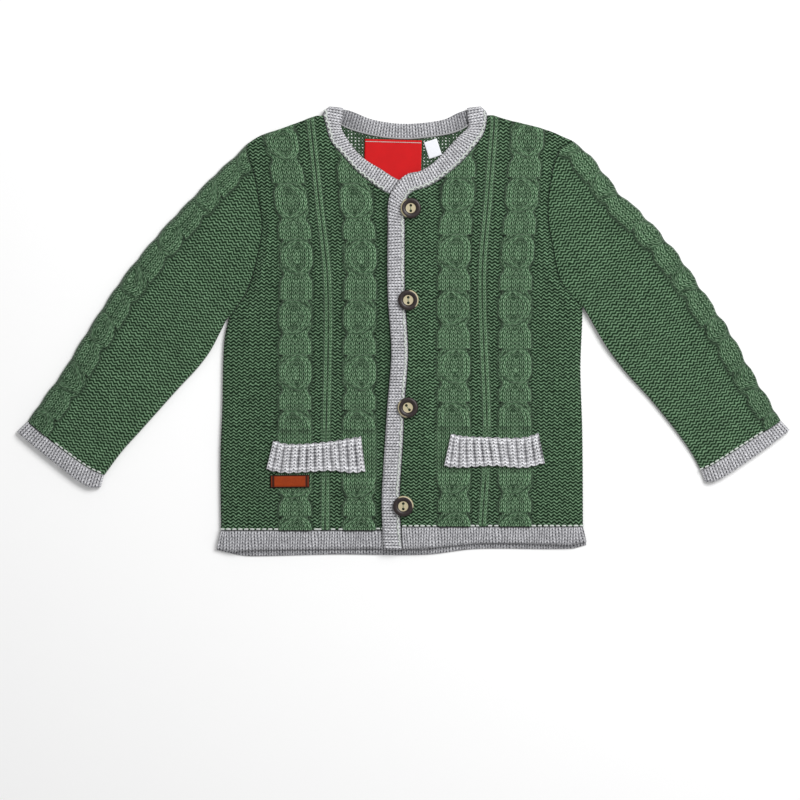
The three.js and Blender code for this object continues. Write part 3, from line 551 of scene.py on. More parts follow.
def cableAt(across, along, rings):
    tops, bottoms = (np.array(ends) for ends in zip(*rings))
    k = np.clip(np.searchsorted(tops, along) - 1, 0, len(rings) - 1)
    fromTop, fromBottom = along - tops[k], bottoms[k] - along
    inRing = (fromTop > 0) & (fromBottom > 0)
    reach = np.clip(np.minimum(fromTop, fromBottom) / cable["arch"], 0, 1)
    share = np.where(inRing, between(cable["narrow"], 1, np.sqrt(1 - (1 - reach) ** 2)), 1)
    near = np.minimum(np.abs(fromTop), np.abs(fromBottom))
    half = cable["half"] * (1 - cable["notch"] * (1 - soft(near / cable["notchRun"])))
    away = np.abs(across)
    fromSeam = np.abs(across - cable["lean"] * (1 - reach) * inRing * np.where(k % 2 == 0, 1, -1))
    d = share * half - fromSeam  # from the strand's outer edge, inwards

    def strand(inwards):
        bump = np.sqrt(np.sin(np.pi * np.clip(inwards / cable["strand"], 0, 1)))
        return soft(inwards / cable["edge"]) * between(cable["valley"], 1, bump)

    behind = strand(half - away) * (1 - 0.5 * soft(near / 5))
    height = np.where(d > 0, np.maximum(strand(d), behind * (d < 1)), behind)
    covered = away < half * 1.02
    parting = inRing * (1 - soft((share - 0.8) / 0.2))
    paintedLines = sum(high * bell(d - at, wide) * between(beside, 1, inRing)
                for at, wide, high, beside in paintedStrandLines)
    # painted shade: along the ring's outer edge and inside the strand, where the strands cross, in the hole
    # under each crossing, and as a shadow just outside the cable
    shadow = (0.7 * bell(d + 0.7, 0.9) + 0.35 * bell(d - cable["strand"], 0.7)) * parting
    crossingShade = 0.45 * bell(fromSeam, 0.7) * inRing * (1 - soft((share - 0.5) / 0.3))
    hole = cable["holeShade"] * bell(near - 6.5, 2.2) * bell(fromSeam, 1.3) * inRing
    outlineShadow = 0.3 * bell(away - half * 1.06, 0.8)
    return dict(height=cable["height"] * height, u=np.where(d > 0, d, half - away) / cable["wale"],
                v=along / cable["course"], covered=covered, paintedLines=paintedLines * covered,
                deep=np.where(covered, np.clip(shadow + crossingShade + hole, 0, 0.85), outlineShadow))


# valley: painted shade in the groove between the rib's two wales; line: painted highlight along the wales
rib = dict(spread=1.7, half=1.55, height=1.1, valley=0.7, line=0.6)
seats = [(-120, -17, -117, -82), (-110, -70, -128, -117), (24, 122, -113, -80)]  # left right low high
seatFade = 4


def unpressed(x, y):  # 0 on the flat seats under the welts and the patch
    away = [np.maximum.reduce([l - x, x - r, low - y, y - high]) / seatFade for l, r, low, high in seats]
    return np.minimum.reduce([soft(a) for a in away])


# Soft folds: from x, y to x, y, half width and height, all in millimetres
foldRows = [
    (-120, 84, -113, 44, 7, 0.9),
    (-131, 60, -118, 18, 6, -0.8),
    (-126, 20, -112, -14, 8, 0.7),
    (-60, 150, -48, 118, 9, 0.5),
    (127, 66, 138, 20, 7, 0.9),
    (118, 40, 131, 8, 6, -0.8),
    (134, 2, 124, -30, 9, 0.7),
    (18, 92, 26, 60, 6, 0.45),
    (16, -70, 30, -96, 7, 0.5),
    (-128, -120, -136, -155, 8, 0.5),
    (128, -118, 137, -150, 9, 0.55),
    (-4, 100, -22, 74, 6, 0.4),
]


lowestFold = -0.6


def foldsAt(x, y, rows):
    total = np.zeros(np.broadcast(x, y).shape)
    for x0, y0, x1, y1, half, height in rows:
        run = np.array([x1 - x0, y1 - y0], float)
        long = np.hypot(*run)
        t = ((x - x0) * run[0] + (y - y0) * run[1]) / long**2
        off = ((x - x0) * run[1] - (y - y0) * run[0]) / long
        off = off + 1.5 * np.sin(t * 3.1 + x0)
        total = total + height * bell(off, half) * soft((t + 0.15) / 0.4) * soft((1.15 - t) / 0.4)
    return total


class Front:
    def __init__(self, shape, bandRows):
        self.shape, self.sign = shape, shape["sign"]
        parts = ("side", "armhole", "shoulder")
        self.side, self.armhole, self.shoulder = (curveThrough(shape[part]) for part in parts)
        self.armLow, self.armTop = shape["armhole"][0][0], shape["armhole"][-1][0]
        self.highest = shape["shoulder"][-1][0] - 1.2
        self.band = smoothLine(bandRows)
        self.middles = [curveThrough(rows) for rows in shape["cables"]]
        self.ribX = curveThrough(shape["rib"])
        self.rings = sorted((-top, -bottom) for top, bottom in shape["rings"])

    def outerX(self, y):
        upper = np.where(y <= self.armTop, self.armhole(y), self.shoulder(y))
        return np.where(y <= self.armLow, self.side(y), upper)

    def innerX(self, y):
        line = self.band[::-1]
        return np.interp(y, line[:, 1], line[:, 0] + self.sign * knit["gap"])

    def base(self, x, y):
        fromSeam = self.sign * (self.outerX(np.minimum(y, self.highest)) - x)
        raised = knit["loft"] * soft(fromSeam / knit["loftRun"]) * soft((178 - y) / knit["loftRun"])
        lifted = lap["lift"] * soft((lap["none"] - x) / (lap["none"] - lap["full"])) if self.sign > 0 else 0
        return outerBase + raised + lifted

    def hemBase(self, x, y):
        return self.base(x, self.shape["hem"])

    def cloth(self, name):
        sign = self.sign
        y = np.arange(self.shape["hem"], self.highest, frontLook["step"])[:, None]
        edge = sign * knit["ripple"] * np.cos(2 * np.pi * y / knit["course"])
        outer = self.outerX(y) - edge * (y < self.armLow)
        t = np.linspace(0, 1, frontLook["columns"])[None, :]
        low = t[:, :: (frontLook["columns"] - 1) // 6]
        lowX = between(outer, self.innerX(y), low)
        lowY = np.broadcast_to(y, lowX.shape)
        x = between(outer, self.innerX(y), t)
        y = np.broadcast_to(y, x.shape)
        du, dv = drift(x, y)
        u, v = x / knit["wale"] + du, -y / knit["course"] + dv
        purl, deep, raised, paintedLines = np.ones(x.shape), *np.zeros((3, *x.shape))
        for middle in self.middles:
            c = cableAt(x - middle(y), -y, self.rings)
            raised = np.maximum(raised, c["height"])
            u, v, purl = (np.where(c["covered"], *pair) for pair in ((c["u"], u), (c["v"], v), (0.0, purl)))
            deep, paintedLines = np.maximum(deep, c["deep"]), paintedLines + c["paintedLines"]
        off = x - self.ribX(y)
        fromRib = np.abs(off) - rib["spread"]
        onRib = np.abs(fromRib) < rib["half"]
        arch = np.sqrt(np.clip(1 - (fromRib / rib["half"]) ** 2, 0, 1))
        raised = np.maximum(raised, rib["height"] * arch)
        deep = np.maximum(deep, rib["valley"] * bell(off, 0.6))
        paintedLines = paintedLines + rib["line"] * bell(fromRib, 0.7)
        u, purl = np.where(onRib, fromRib / (2.2 * rib["half"]) + 0.5, u), np.where(onRib, 0.0, purl)
        fromOuter = sign * (self.outerX(y) - x)
        drop = np.where(y > self.armLow, *frontLook["drops"]) * (1 - soft(fromOuter / frontLook["dropRun"]))
        fold = frontLook["fold"] * soft(1 - np.abs(fromOuter - frontLook["foldIn"]) / frontLook["foldHalf"])
        for inside in (y - self.shape["foldFrom"], self.shape["foldTo"] - y):
            fold = fold * soft(inside / frontLook["foldFade"])
        atSeam = soft(1 - fromOuter / frontLook["seamRun"]) * (y > self.armLow)
        deep = np.maximum(deep, frontLook["seamShade"] * atSeam)
        if sign < 0:  # the right band shades the cloth beside it
            beside = soft(1 - (shadedBy(y) - x) / frontLook["bandRun"]) * (y < frontLook["bandTop"])
            deep = np.maximum(deep, frontLook["bandShade"] * beside)
        free = unpressed(x, y)
        folds = np.maximum(foldsAt(x, y, foldRows) * free, lowestFold)
        stitches = np.where(purl > 0.5, purlDepth(u, v), veeDepth(u, v))
        z = self.base(x, y) + knit["wall"] - drop + fold + raised * free + stitches + folds
        cloth = Cloth(name)
        # shade: painted shade in the hollows, painted highlight and shade along the cable and rib lines
        closedShell(cloth, together(x, y, z), together(lowX, lowY, self.base(lowX, lowY)),
                    u=u, v=v, purl=purl, deep=deep * free, shade=hollows(z) - paintedLines * free)
        return cloth, area(x, y)


def area(x, y):  # flat area of a grid of places
    ax, ay = np.diff(x, axis=1)[:-1], np.diff(y, axis=1)[:-1]
    bx, by = np.diff(x, axis=0)[:, :-1], np.diff(y, axis=0)[:, :-1]
    return float(np.abs(ax * by - ay * bx).sum()) * mm * mm


# Fronts
shadedBy = curveThrough([(free, x) for _, _, x, free in rightBandRows[9:]])
frontLook = dict(
    columns=187,
    step=knit["course"] / 4,
    drops=(0.4, 1.2),  # at the armhole and at the side
    dropRun=3,
    fold=1.3,
    foldIn=7,  # from the outer edge
    foldHalf=5,
    foldFade=15,
    seamShade=0.5,
    seamRun=1.6,
    bandShade=0.6,
    bandRun=6.5,
    bandTop=112,
)
leftFront, rightFront = Front(leftFrontShape, leftBandRows), Front(rightFrontShape, rightBandRows)
for side, front, flat in (("left", leftFront, (0.153, 0.332)), ("right", rightFront, (0.144, 0.329))):
    cloth, flatArea = front.cloth(f"front_{side}_cloth")
    layCloth(cloth, greenKnit, "knit_green", f"front_{side}", flat, area=flatArea, rests_on=["back_cloth"])
print("fronts made")

# Back: its plain inside shows in the neck opening, its purl side lies on the table
backPiece = dict(columns=181, rows=151, low=-160, wale=2.9, depth=0.2, shade=0.6)


def backCloth():
    low, columns = backPiece["low"], backPiece["columns"]
    t = np.linspace(0, 1, backPiece["rows"])[:, None]
    neck = smoothLine([(r[0], r[1] - knit["gap"]) for r in backBandRows])
    top = [(x, y) for y, x in leftFrontShape["shoulder"][:-1]] + [(-64.2, 172), (-60, 170.6)]
    top += [tuple(p) for p in neck] + [(64, 170.6), (69, 172)]
    top += [(x, y) for y, x in rightFrontShape["shoulder"][-2::-1]]
    top, _ = evenly(np.array(top), columns)
    across = np.linspace(0, 1, columns)[None, :]
    left, right = (front.outerX(between(low, front.armTop, t)) for front in (leftFront, rightFront))
    x = between(left, right, across) + (top[None, :, 0] - between(left[-1], right[-1], across)) * t**3
    y = between(low, top[None, :, 1], t)
    u, v = x / backPiece["wale"], -y / knit["course"]
    inside = knit["back"] + backPiece["depth"] * (veeRelief(u, v) - 1)
    cloth = Cloth("back_cloth")
    picks = list(range(0, columns, 6))
    closedShell(cloth, together(x, y, inside), together(x, y, 0)[:, picks], picks,
                u=u, v=v, purl=0.0, deep=backPiece["shade"])
    return cloth, area(x, y)


cloth, backArea = backCloth()
layCloth(cloth, insideKnit, "knit_green", "back", (0.290, 0.333), area=backArea)
print("back made")

# Sleeves: flattened tubes between the upper fold, the seam below, the armhole and the cuff
sleeve = dict(
    columns=104,
    step=0.72,
    foldZ=2.3,
    low=2.0,
    high=2.6,
    cavityIn=4,
    drop=0.9,
    round=2.6,
    purl=0.85,  # of the fronts' depth
    groove=0.6,
    cable=0.9,  # of its height
    shade=0.16,
    foldShade=0.22,
    lighter=0.3,
)
sleeveTop = sleeve["high"] + knit["wall"]
leftSleeveShape = dict(
    sign=-1,
    upper=[(-124.7, 148.8), (-135.6, 137.5), (-146.8, 127.6), (-170.8, 103), (-185.2, 88), (-204.4, 66),
           (-224.4, 40.8), (-243.6, 12), (-258.8, -12), (-270.8, -32), (-285.2, -52), (-300, -73)],
    lower=[(-139.3, 9.6), (-145.8, 2), (-151.6, -13), (-162, -28), (-179, -46.4), (-194.8, -64), (-210, -81),
           (-224.4, -97), (-238.6, -116)],
    cuff=[(-300, -73), (-270.8, -96.8), (-248.4, -112), (-238.6, -116)],
    cuffEnd=[(-308.7, -81.3), (-281.2, -104), (-251.6, -125.2), (-241.6, -126)],
    fromFold=6.5,  # the cable's middle from the upper fold
    rings=[(-14, 12), (34, 58), (80, 104), (127, 151), (174, 198), (221, 245), (267, 291)],
    scallop=0.7,
    slopes=(-31, -34),  # of the purl rows at the body and at the cuff, in degrees
)
rightSleeveShape = dict(
    sign=1,
    upper=[(136.8, 151.2), (146, 143.2), (158, 129.6), (174.3, 108.3), (191.6, 92.8), (202.8, 80.8),
           (223.3, 56), (237.6, 34.8), (250.8, 15.2), (262.8, -3.2), (274, -24), (284.4, -42.4),
           (302.8, -72.4)],
    lower=[(144.2, 18.4), (151, 13), (156.5, 1), (163.6, -14), (178.4, -33.6), (198.8, -56), (219.2, -81.3),
           (231.6, -99), (238.6, -112)],
    cuff=[(302.8, -72.4), (275.4, -90.4), (246.8, -108.3), (238.6, -112)],
    cuffEnd=[(310, -80), (285.2, -98.4), (250, -120.8), (242, -121.4)],
    fromFold=1.5,
    rings=[(-14, 10), (33, 56), (85, 109), (132, 155), (181, 201), (225, 248), (270, 293)],
    scallop=1.6,
    slopes=(36, 35),
)
sleeveFolds = [  # as foldRows, uneven as the sleeves lie
    (-150, 92, -133, 38, 8, 0.7),
    (-168, 62, -146, 12, 7, -0.6),
    (-150, 10, -166, -20, 7, 0.8),
    (-215, -20, -232, -52, 10, 0.6),
    (-262, -70, -244, -98, 8, 0.4),
    (152, 96, 147, 46, 8, 0.7),
    (170, 60, 156, 16, 7, -0.6),
    (166, 2, 178, -26, 7, 0.8),
    (222, -22, 236, -58, 10, 0.6),
    (262, -64, 250, -96, 8, 0.4),
]


def sleeveGrid(shape, front):
    sign, columns = shape["sign"], sleeve["columns"]
    _, length = evenly(smoothLine(shape["upper"]), 400)
    rows = int(length[-1] / sleeve["step"]) + 1
    upper, along = evenly(smoothLine(shape["upper"]), rows)
    lower, _ = evenly(smoothLine(shape["lower"]), rows)
    end, _ = evenly(smoothLine(shape["cuff"]), columns)
    armY = np.linspace(front.armTop, front.armLow, 200)
    start, _ = evenly(np.stack([front.outerX(armY) + sign * knit["gap"], armY], -1), columns)
    s, t = np.linspace(0, 1, rows)[:, None, None], np.linspace(0, 1, columns)[None, :, None]
    place = between(upper[:, None], lower[:, None], t) + between(start[None], end[None], s)
    place -= between(between(upper[0], lower[0], t), between(end[0], end[-1], t), s)
    width = np.linalg.norm(upper - lower, axis=1)[:, None]
    return place, s[..., 0], t[..., 0], along[:, None], width


def sleeveCloth(name, shape, front):
    place, s, t, along, width = sleeveGrid(shape, front)
    fromTop, fromEdge = t * width, np.minimum(t, 1 - t) * width

    def toRings(at):  # distance from the nearest end of a ring
        return np.minimum.reduce([np.abs(at - end) for ring in shape["rings"] for end in ring])

    def tilted(degrees):  # wales and courses where the rows lie at this angle
        cos, sin = math.cos(math.radians(degrees)), math.sin(math.radians(degrees))
        dx, dy = x - anchor[0], y - anchor[1]
        return np.array([(dx * cos + dy * sin) / knit["wale"], (dx * sin - dy * cos) / knit["course"]])

    outward = shape["sign"] * shape["scallop"] * (soft(toRings(along) / 9) - 0.35)
    outward = outward * soft(s * 14) * soft((1 - s) * 22) * soft(1 - fromTop / 10)
    x, y = place[..., 0] + outward * 0.75, place[..., 1] + shape["sign"] * outward * 0.66
    c = cableAt(fromTop - shape["fromFold"], np.broadcast_to(along, x.shape), shape["rings"])
    covered = c["covered"]
    anchor = place[place.shape[0] // 2, place.shape[1] // 2]
    u, v = between(*(tilted(degrees) for degrees in shape["slopes"]), soft(s))
    du, dv = drift(x, y)
    u = np.where(covered, c["u"], u + 2.2 * du)
    v = np.where(covered, c["v"], v + 1.6 * dv + 0.14 * np.sin(x / 11 - y / 17))
    slanted = along + 0.5 * (fromTop - shape["fromFold"])  # the strands cross at a slant
    groove = bell(toRings(slanted), 1.8) * covered
    # painted shade: the cable's own, its shadow on the ground beside it, in the grooves where the strands
    # cross, along the armhole seam, and over the whole cable, more near the upper fold
    beside = np.where(covered, 0, 1.5 * c["deep"])
    shaded = covered * (sleeve["shade"] + sleeve["foldShade"] * soft(1 - fromTop / 9))
    atSeam = np.broadcast_to(0.45 * soft(1 - along / 1.4), x.shape)
    deep = np.maximum.reduce([c["deep"], beside, 0.3 * groove, atSeam, shaded])
    stitches = np.where(covered, veeDepth(u, v), sleeve["purl"] * purlDepth(u, v, sleeveWave))
    stitches = stitches - sleeve["groove"] * groove
    crown = sleeveTop - sleeve["drop"] * (1 - soft(fromEdge / 6))
    nearEdge = soft(fromEdge / 5)
    folds = np.maximum(foldsAt(x, y, sleeveFolds), lowestFold)
    z = crown + (sleeve["cable"] * c["height"] + stitches + folds) * nearEdge
    z = roundedDown(z, fromEdge / sleeve["round"])
    # painted shade in the hollows and painted highlight on the strand lines; the purl ground is made lighter
    shade = (hollows(z) - c["paintedLines"] - sleeve["lighter"] * (1 - covered)) * nearEdge
    facts = dict(u=u, v=v, purl=np.where(covered, 0.0, 1.0), deep=deep, shade=shade)
    return tube(name, x, y, z, t, width, facts), 2 * area(x, y)


def roundedDown(z, share):  # to the fold at a tube's edge
    return between(sleeve["foldZ"], z, np.sqrt(1 - (1 - np.clip(share, 0, 1)) ** 2))


def tube(name, x, y, z, t, width, facts):  # a flattened tube, open at both ends
    columns = x.shape[1]
    cloth = Cloth(name)
    top = cloth.grid(together(x, y, z), **facts)
    near = max(1, round(2.5 / width.mean() * columns))
    picks = [near] + list(range(near + 6, columns - near - 4, 6)) + [columns - 1 - near]
    low = cloth.grid(together(x, y, 0)[:, picks])
    low = np.concatenate([top[:, :1], low, top[:, -1:]], axis=1)
    deepest = max(2, round(sleeve["cavityIn"] / width.mean() * columns))
    inner = [deepest] + list(range(deepest + 6, columns - deepest - 4, 8)) + [columns - 1 - deepest]

    def inside(height):
        heights = np.full(len(inner), height)
        heights[[0, -1]] = sleeve["foldZ"]
        return together(x[:, inner], y[:, inner], heights)

    roof = cloth.grid(inside(sleeve["high"]))
    floor = cloth.grid(inside(sleeve["low"])[:, 1:-1])
    floor = np.concatenate([roof[:, :1], floor, roof[:, -1:]], axis=1)
    up = upward(together(x, y, z))
    cloth.cover(top, not up)
    cloth.cover(low, up)
    cloth.cover(roof, up)
    cloth.cover(floor, not up)
    outside = [0] + picks + [columns - 1]
    for row, turned in ((0, not up), (-1, up)):
        ringWall(cloth, top[row], list(range(columns)), roof[row], inner, turned)
        ringWall(cloth, low[row], outside, floor[row], inner, not turned)
    return cloth


def ringWall(cloth, outer, outerAt, inner, innerAt, turned):  # from a tube's outer line to its inner one
    for k in range(len(inner) + 1):
        low = innerAt[k - 1] if k else outerAt[0]
        high = innerAt[k] if k < len(inner) else outerAt[-1]
        first, last = (min(outerAt, key=lambda at: abs(at - end)) for end in (low, high))
        span = [outer[i] for i, at in enumerate(outerAt) if first <= at <= last]
        loop = list(inner[max(k - 1, 0) : k + 1]) + span[::-1]
        cloth.rim(np.array(loop[::-1] if turned else loop))


cuffPiece = dict(
    columns=120,
    rows=18,
    wale=2.3,
    course=2.5,
    length=11.5,
    swell=1.0,
    drop=1.1,
    depth=0.22,
    round=0.035,
)
cuffCrown = curveThrough([(0, 0.45), (0.15, 0.88), (0.5, 1), (0.85, 0.88), (1, 0.45)])


def cuffCloth(name, shape):
    columns, rows = cuffPiece["columns"], cuffPiece["rows"]
    shift = np.array([shape["sign"] * 0.6, -0.8]) * knit["gap"]
    start, along = evenly(smoothLine(shape["cuff"]), columns)
    end, _ = evenly(smoothLine(shape["cuffEnd"]), columns)
    s, t = np.linspace(0, 1, rows)[:, None], np.linspace(0, 1, columns)[None, :]
    x, y = (between(start[None, :, k] + shift[k], end[None, :, k], s) for k in (0, 1))
    u = np.broadcast_to(along[None, :] / cuffPiece["wale"], x.shape)
    v = np.broadcast_to(s * cuffPiece["length"] / cuffPiece["course"], x.shape)
    fromEdge = np.minimum(t, 1 - t)
    z = sleeveTop + cuffPiece["swell"] * cuffCrown(s) - cuffPiece["drop"] * (1 - soft(fromEdge * 12))
    z = z + cuffPiece["depth"] * (veeRelief(u, v, bandVee) - 0.8) * soft(fromEdge * 30)
    z = roundedDown(z, fromEdge / cuffPiece["round"])
    width = np.full((rows, 1), along[-1])
    return tube(name, x, y, z, t, width, dict(u=u, v=v, purl=0.0)), 2 * area(x, y)


for side, shape, front in (("left", leftSleeveShape, leftFront), ("right", rightSleeveShape, rightFront)):
    cloth, flatArea = sleeveCloth(f"sleeve_{side}_cloth", shape, front)
    layCloth(cloth, sleeveKnit, "knit_green", f"sleeve_{side}", (0.290, 0.285), area=flatArea)
    cloth, flatArea = cuffCloth(f"cuff_{side}_cloth", shape)
    layCloth(cloth, greyKnit, "band_grey", f"cuff_{side}", (0.166, 0.016), area=flatArea)
print("sleeves made")

# Grey bands, doubled jersey whose wales run across them
bandKnit = dict(step=0.58, columns=24, wale=2.33, course=2.55, depth=0.24, crown=2.8, pressed=2.2)
# deep: painted shade, a little, over the whole hem bands
hemKnit = dict(deep=0.14, wale=2.2, stray=0.3)
bandCrown = curveThrough([(0, 0.45), (0.14, 0.88), (0.5, 1), (0.86, 0.88), (1, 0.45)])


def bandCloth(name, line, base, crown, deep=0.0, wale=bandKnit["wale"], stray=0.0):
    middle = np.column_stack([(line[:, :2] + line[:, 2:]) / 2, line])  # then sewn x, y and free x, y
    count = int(np.linalg.norm(np.diff(middle[:, :2], axis=0), axis=1).sum() / bandKnit["step"])
    even, along = evenly(middle, count)
    along = along[:, None]
    t = np.linspace(0, 1, bandKnit["columns"])[None, :]
    x, y = (between(even[:, k : k + 1], even[:, k + 2 : k + 3], t) for k in (2, 3))
    width = np.hypot(even[:, 4] - even[:, 2], even[:, 5] - even[:, 3])[:, None]
    u = along / wale + stray * (np.sin(along / 8.3) + 0.6 * np.sin(along / 3.7 + 3 * t))
    v = t * width / bandKnit["course"]
    z = base(x, y) + bandCrown(t) * crown(x, y) + bandKnit["depth"] * (veeRelief(u, v, bandVee) - 0.9)
    cloth = Cloth(name)
    closedShell(cloth, together(x, y, z), together(x, y, base(x, y))[:, [0, -1]],
                u=u, v=v, purl=0.0, deep=deep(x) if callable(deep) else deep)
    return cloth, area(x, y)


def hemCloth(name, rows, topY, ends, base, crown):
    first, last = rows[0][0], rows[-1][0]
    share = np.linspace(0, 1, int((last - first) / bandKnit["step"]) + 1)
    x = between(first, last, share)
    sewn = between(x, between(*ends, share), soft((0.08 - np.minimum(share, 1 - share)) / 0.08))
    line = np.stack([sewn, np.full(x.shape, topY - knit["gap"]), x, curveThrough(rows)(x)], axis=1)
    return bandCloth(name, line, base, crown, **hemKnit)


def level(height):
    return lambda x, y: np.full(x.shape, height)


def leftCrown(x, y):
    return between(bandKnit["pressed"], bandKnit["crown"], soft((-18 - x) / 6))


def backCrown(x, y):
    return between(knit["back"], bandKnit["crown"], soft((40 - np.abs(x - 2)) / 6))


def underBands(x):  # painted shade over the back band, a little in the middle and more at the ends, where the front bands shade it
    return 0.16 + 0.34 * soft((np.abs(x - 2) - 24) / 26)


fullCrown, onTable = level(bandKnit["crown"]), level(0.0)
leftHemRows = [(-148.7, -175.2), (-136, -177.4), (-121, -176.4), (-60, -175.4), (6.5, -174.9)]
rightHemRows = [(0.4, -175.2), (21.5, -174.2), (31, -173.6), (59, -171), (90, -170.8), (134.8, -172),
                (147.2, -169.8)]
backHemRows = [(-148.7, -176), (-131.6, -180), (-119, -181), (-54, -179.6), (18, -179.8), (59, -175.2),
               (134.8, -175), (147.2, -172)]
bands = dict(
    edge_band_left=(bandCloth, leftFront.band, leftFront.base, leftCrown, (0.014, 0.420)),
    edge_band_right=(bandCloth, rightFront.band, rightFront.base, fullCrown, (0.0155, 0.420)),
    neckband_back=(bandCloth, smoothLine(backBandRows), onTable, backCrown, underBands, (0.0137, 0.125)),
    hem_left=(hemCloth, leftHemRows, -160, (-145.2, 6.5), leftFront.hemBase, leftCrown, (0.156, 0.0171)),
    hem_right=(hemCloth, rightHemRows, -157, (-0.8, 144.4), rightFront.hemBase, fullCrown, (0.148, 0.0180)),
    hem_back=(hemCloth, backHemRows, -160, (-145.2, 144.4), onTable, level(knit["back"]), (0.297, 0.0207)),
)
for node, (make, *shape, flat) in bands.items():
    cloth, flatArea = make(node + "_cloth", *shape)
    layCloth(cloth, greyKnit, "band_grey", node, flat, area=min(flatArea, flat[0] * flat[1]))
print("bands made")

# Pocket welts: ribs with a valley of purl between them
weltKnit = dict(
    pitch=6.85,  # of the ribs, two wales each
    course=2.8,
    depth=25,
    height=1.0,
    stitch=0.35,
    rows=38,
    step=0.55,
    flare=0.45,
    edge=0.7,
)
leftWeltRows = [(-108.8, -111.6, -103.2, -88.4), (-95, -114.2, -92, -91.2), (-56.4, -112.6, -58, -89.2),
                (-40, -114.2, -42, -86.6), (-29.6, -113, -33.2, -85.2)]
rightWeltRows = [(33.2, -109, 38.8, -82.8), (45, -110, 46, -84.6), (72, -108.6, 68.4, -85.8),
                 (98, -110, 96, -86), (113.6, -106.4, 108.6, -82.6)]


def weltCloth(name, rows):
    line = smoothLine(rows)
    length = np.linalg.norm(np.diff(line[:, :2], axis=0), axis=1).sum()
    even, along = evenly(line, int(length / weltKnit["step"]) + 1)
    t = np.linspace(0, 1, weltKnit["rows"])[None, :]
    turns = along[:, None] / weltKnit["pitch"] + 0.3
    x, y = (between(even[:, k : k + 1], even[:, k + 2 : k + 3], t) for k in (0, 1))
    y = y + weltKnit["flare"] * np.cos(2 * np.pi * turns) * (soft((t - 0.9) / 0.1) - soft((0.1 - t) / 0.1))
    ridge = 1 - wave(turns)
    u = np.broadcast_to(2 * turns, x.shape)
    v = np.broadcast_to(-t * weltKnit["depth"] / weltKnit["course"], x.shape)
    stitches = weltKnit["stitch"] * (veeRelief(u, v, weltVee) - 0.8)
    fromEdge = np.clip(np.minimum(t, 1 - t) / 0.08, 0, 1)
    rounded = weltKnit["edge"] * (1 - np.sqrt(1 - (1 - fromEdge) ** 2))
    z = seatZ + knit["wall"] + weltKnit["height"] * ridge**0.7 + stitches - rounded
    # painted shade in the purl valleys between the ribs, stronger and weaker along the welt
    shadeStrength = 0.7 + 0.3 * np.sin(1.7 * turns * np.pi)
    valley = 1.2 * shadeStrength * np.clip(1.2 - ridge / 0.5, 0, 1) * wave(v)
    cloth = Cloth(name)
    closedShell(cloth, together(x, y, z), together(x, y, seatZ)[:, [0, -1]],
                u=u, v=v, purl=0.0, deep=valley * soft((t - 0.14) / 0.12) * soft((0.9 - t) / 0.12))
    return cloth, area(x, y)


for side, rows in (("left", leftWeltRows), ("right", rightWeltRows)):
    cloth, flatArea = weltCloth(f"pocket_welt_{side}_cloth", rows)
    layCloth(cloth, weltGrey, "band_grey", f"pocket_welt_{side}", (0.081, 0.026),
             area=min(flatArea, 0.081 * 0.026), rests_on=[f"front_{side}_cloth"])
print("welts made")

# Leather patch, neck label and size tag
patch = dict(x=-90, y=-121, width=31.5, depth=10.2, thick=1.2, turn=0.5, edge=0.5, sag=0.25)
neckLabel = dict(x=-7.75, y=134.7, width=45.5, depth=35.4, thick=0.6, turn=-1.5, edge=0.2, sag=0)
sizeTag = dict(x=24.4, y=145.2, width=10.6, depth=13.8, thick=0.6, turn=18, edge=0.2, sag=0)
plateGrid = (61, 41)  # points across and along


def turnedBy(degrees, x, y):
    cos, sin = math.cos(math.radians(degrees)), math.sin(math.radians(degrees))
    return x * cos - y * sin, x * sin + y * cos


def plateCloth(name, look, low):
    across, along = (np.linspace(-0.5, 0.5, count) for count in plateGrid)
    px, py = np.meshgrid(across * look["width"], along * look["depth"])
    near = np.minimum(look["width"] / 2 - np.abs(px), look["depth"] / 2 - np.abs(py))
    z = low + look["thick"] - look["edge"] * (1 - soft(near / 0.8)) - look["sag"] * bell(near - 1.3, 0.3)
    x, y = turnedBy(look["turn"], px, py)
    x, y = x + look["x"], y + look["y"]
    cloth = Cloth(name)
    closedShell(cloth, together(x, y, z), together(x, y, low)[:, [0, -1]], u=px, v=py)
    return cloth


burn = dict(bar=2.4, barEdge=2.4, rimEdge=2.1, rimFade=1.7)


def leatherMaterial():
    net = Net("tanLeather", Specular_IOR_Level=0.2)
    _, u, v = net.uv()
    grain, patches = net.noise(net.place(), 900.0, 4.0, 0.6), net.noise(net.place(), 160.0, 3.0)
    fromEnd, fromSide = patch["width"] / 2 - abs(u), patch["depth"] / 2 - abs(v)
    bars = net.clamp(burn["barEdge"] - abs(fromEnd - burn["bar"]) * 2) * 0.9
    rim = burn["rimEdge"] - net.calc("MINIMUM", fromEnd, fromSide) * burn["rimFade"]
    burnt = net.clamp(net.calc("MAXIMUM", bars, rim))
    tan = net.mix(grain * 0.7, net.mix(patches, srgb(134, 44, 2), srgb(178, 68, 8)), srgb(104, 36, 4))
    colour = net.mix(burnt * 0.95, tan, srgb(12, 4, 2))
    return net.finish(colour, grain * 0.2 + 0.5, grain * 0.4 - burnt, 0.5, 0.0003)


def wovenMaterial(name, light, dark, ribScale):
    net = Net(name, Specular_IOR_Level=0.2)
    _, u, v = net.uv()
    threads = net.wave(u * ribScale) * net.wave(v * (ribScale * 1.4))
    cloudy = net.noise(net.place(), 120.0, 3.0)
    colour = net.mix(threads * 0.5 + cloudy * 0.5, dark, light)
    return net.finish(colour, threads * 0.2 + 0.5, threads, 0.4, 0.00015)


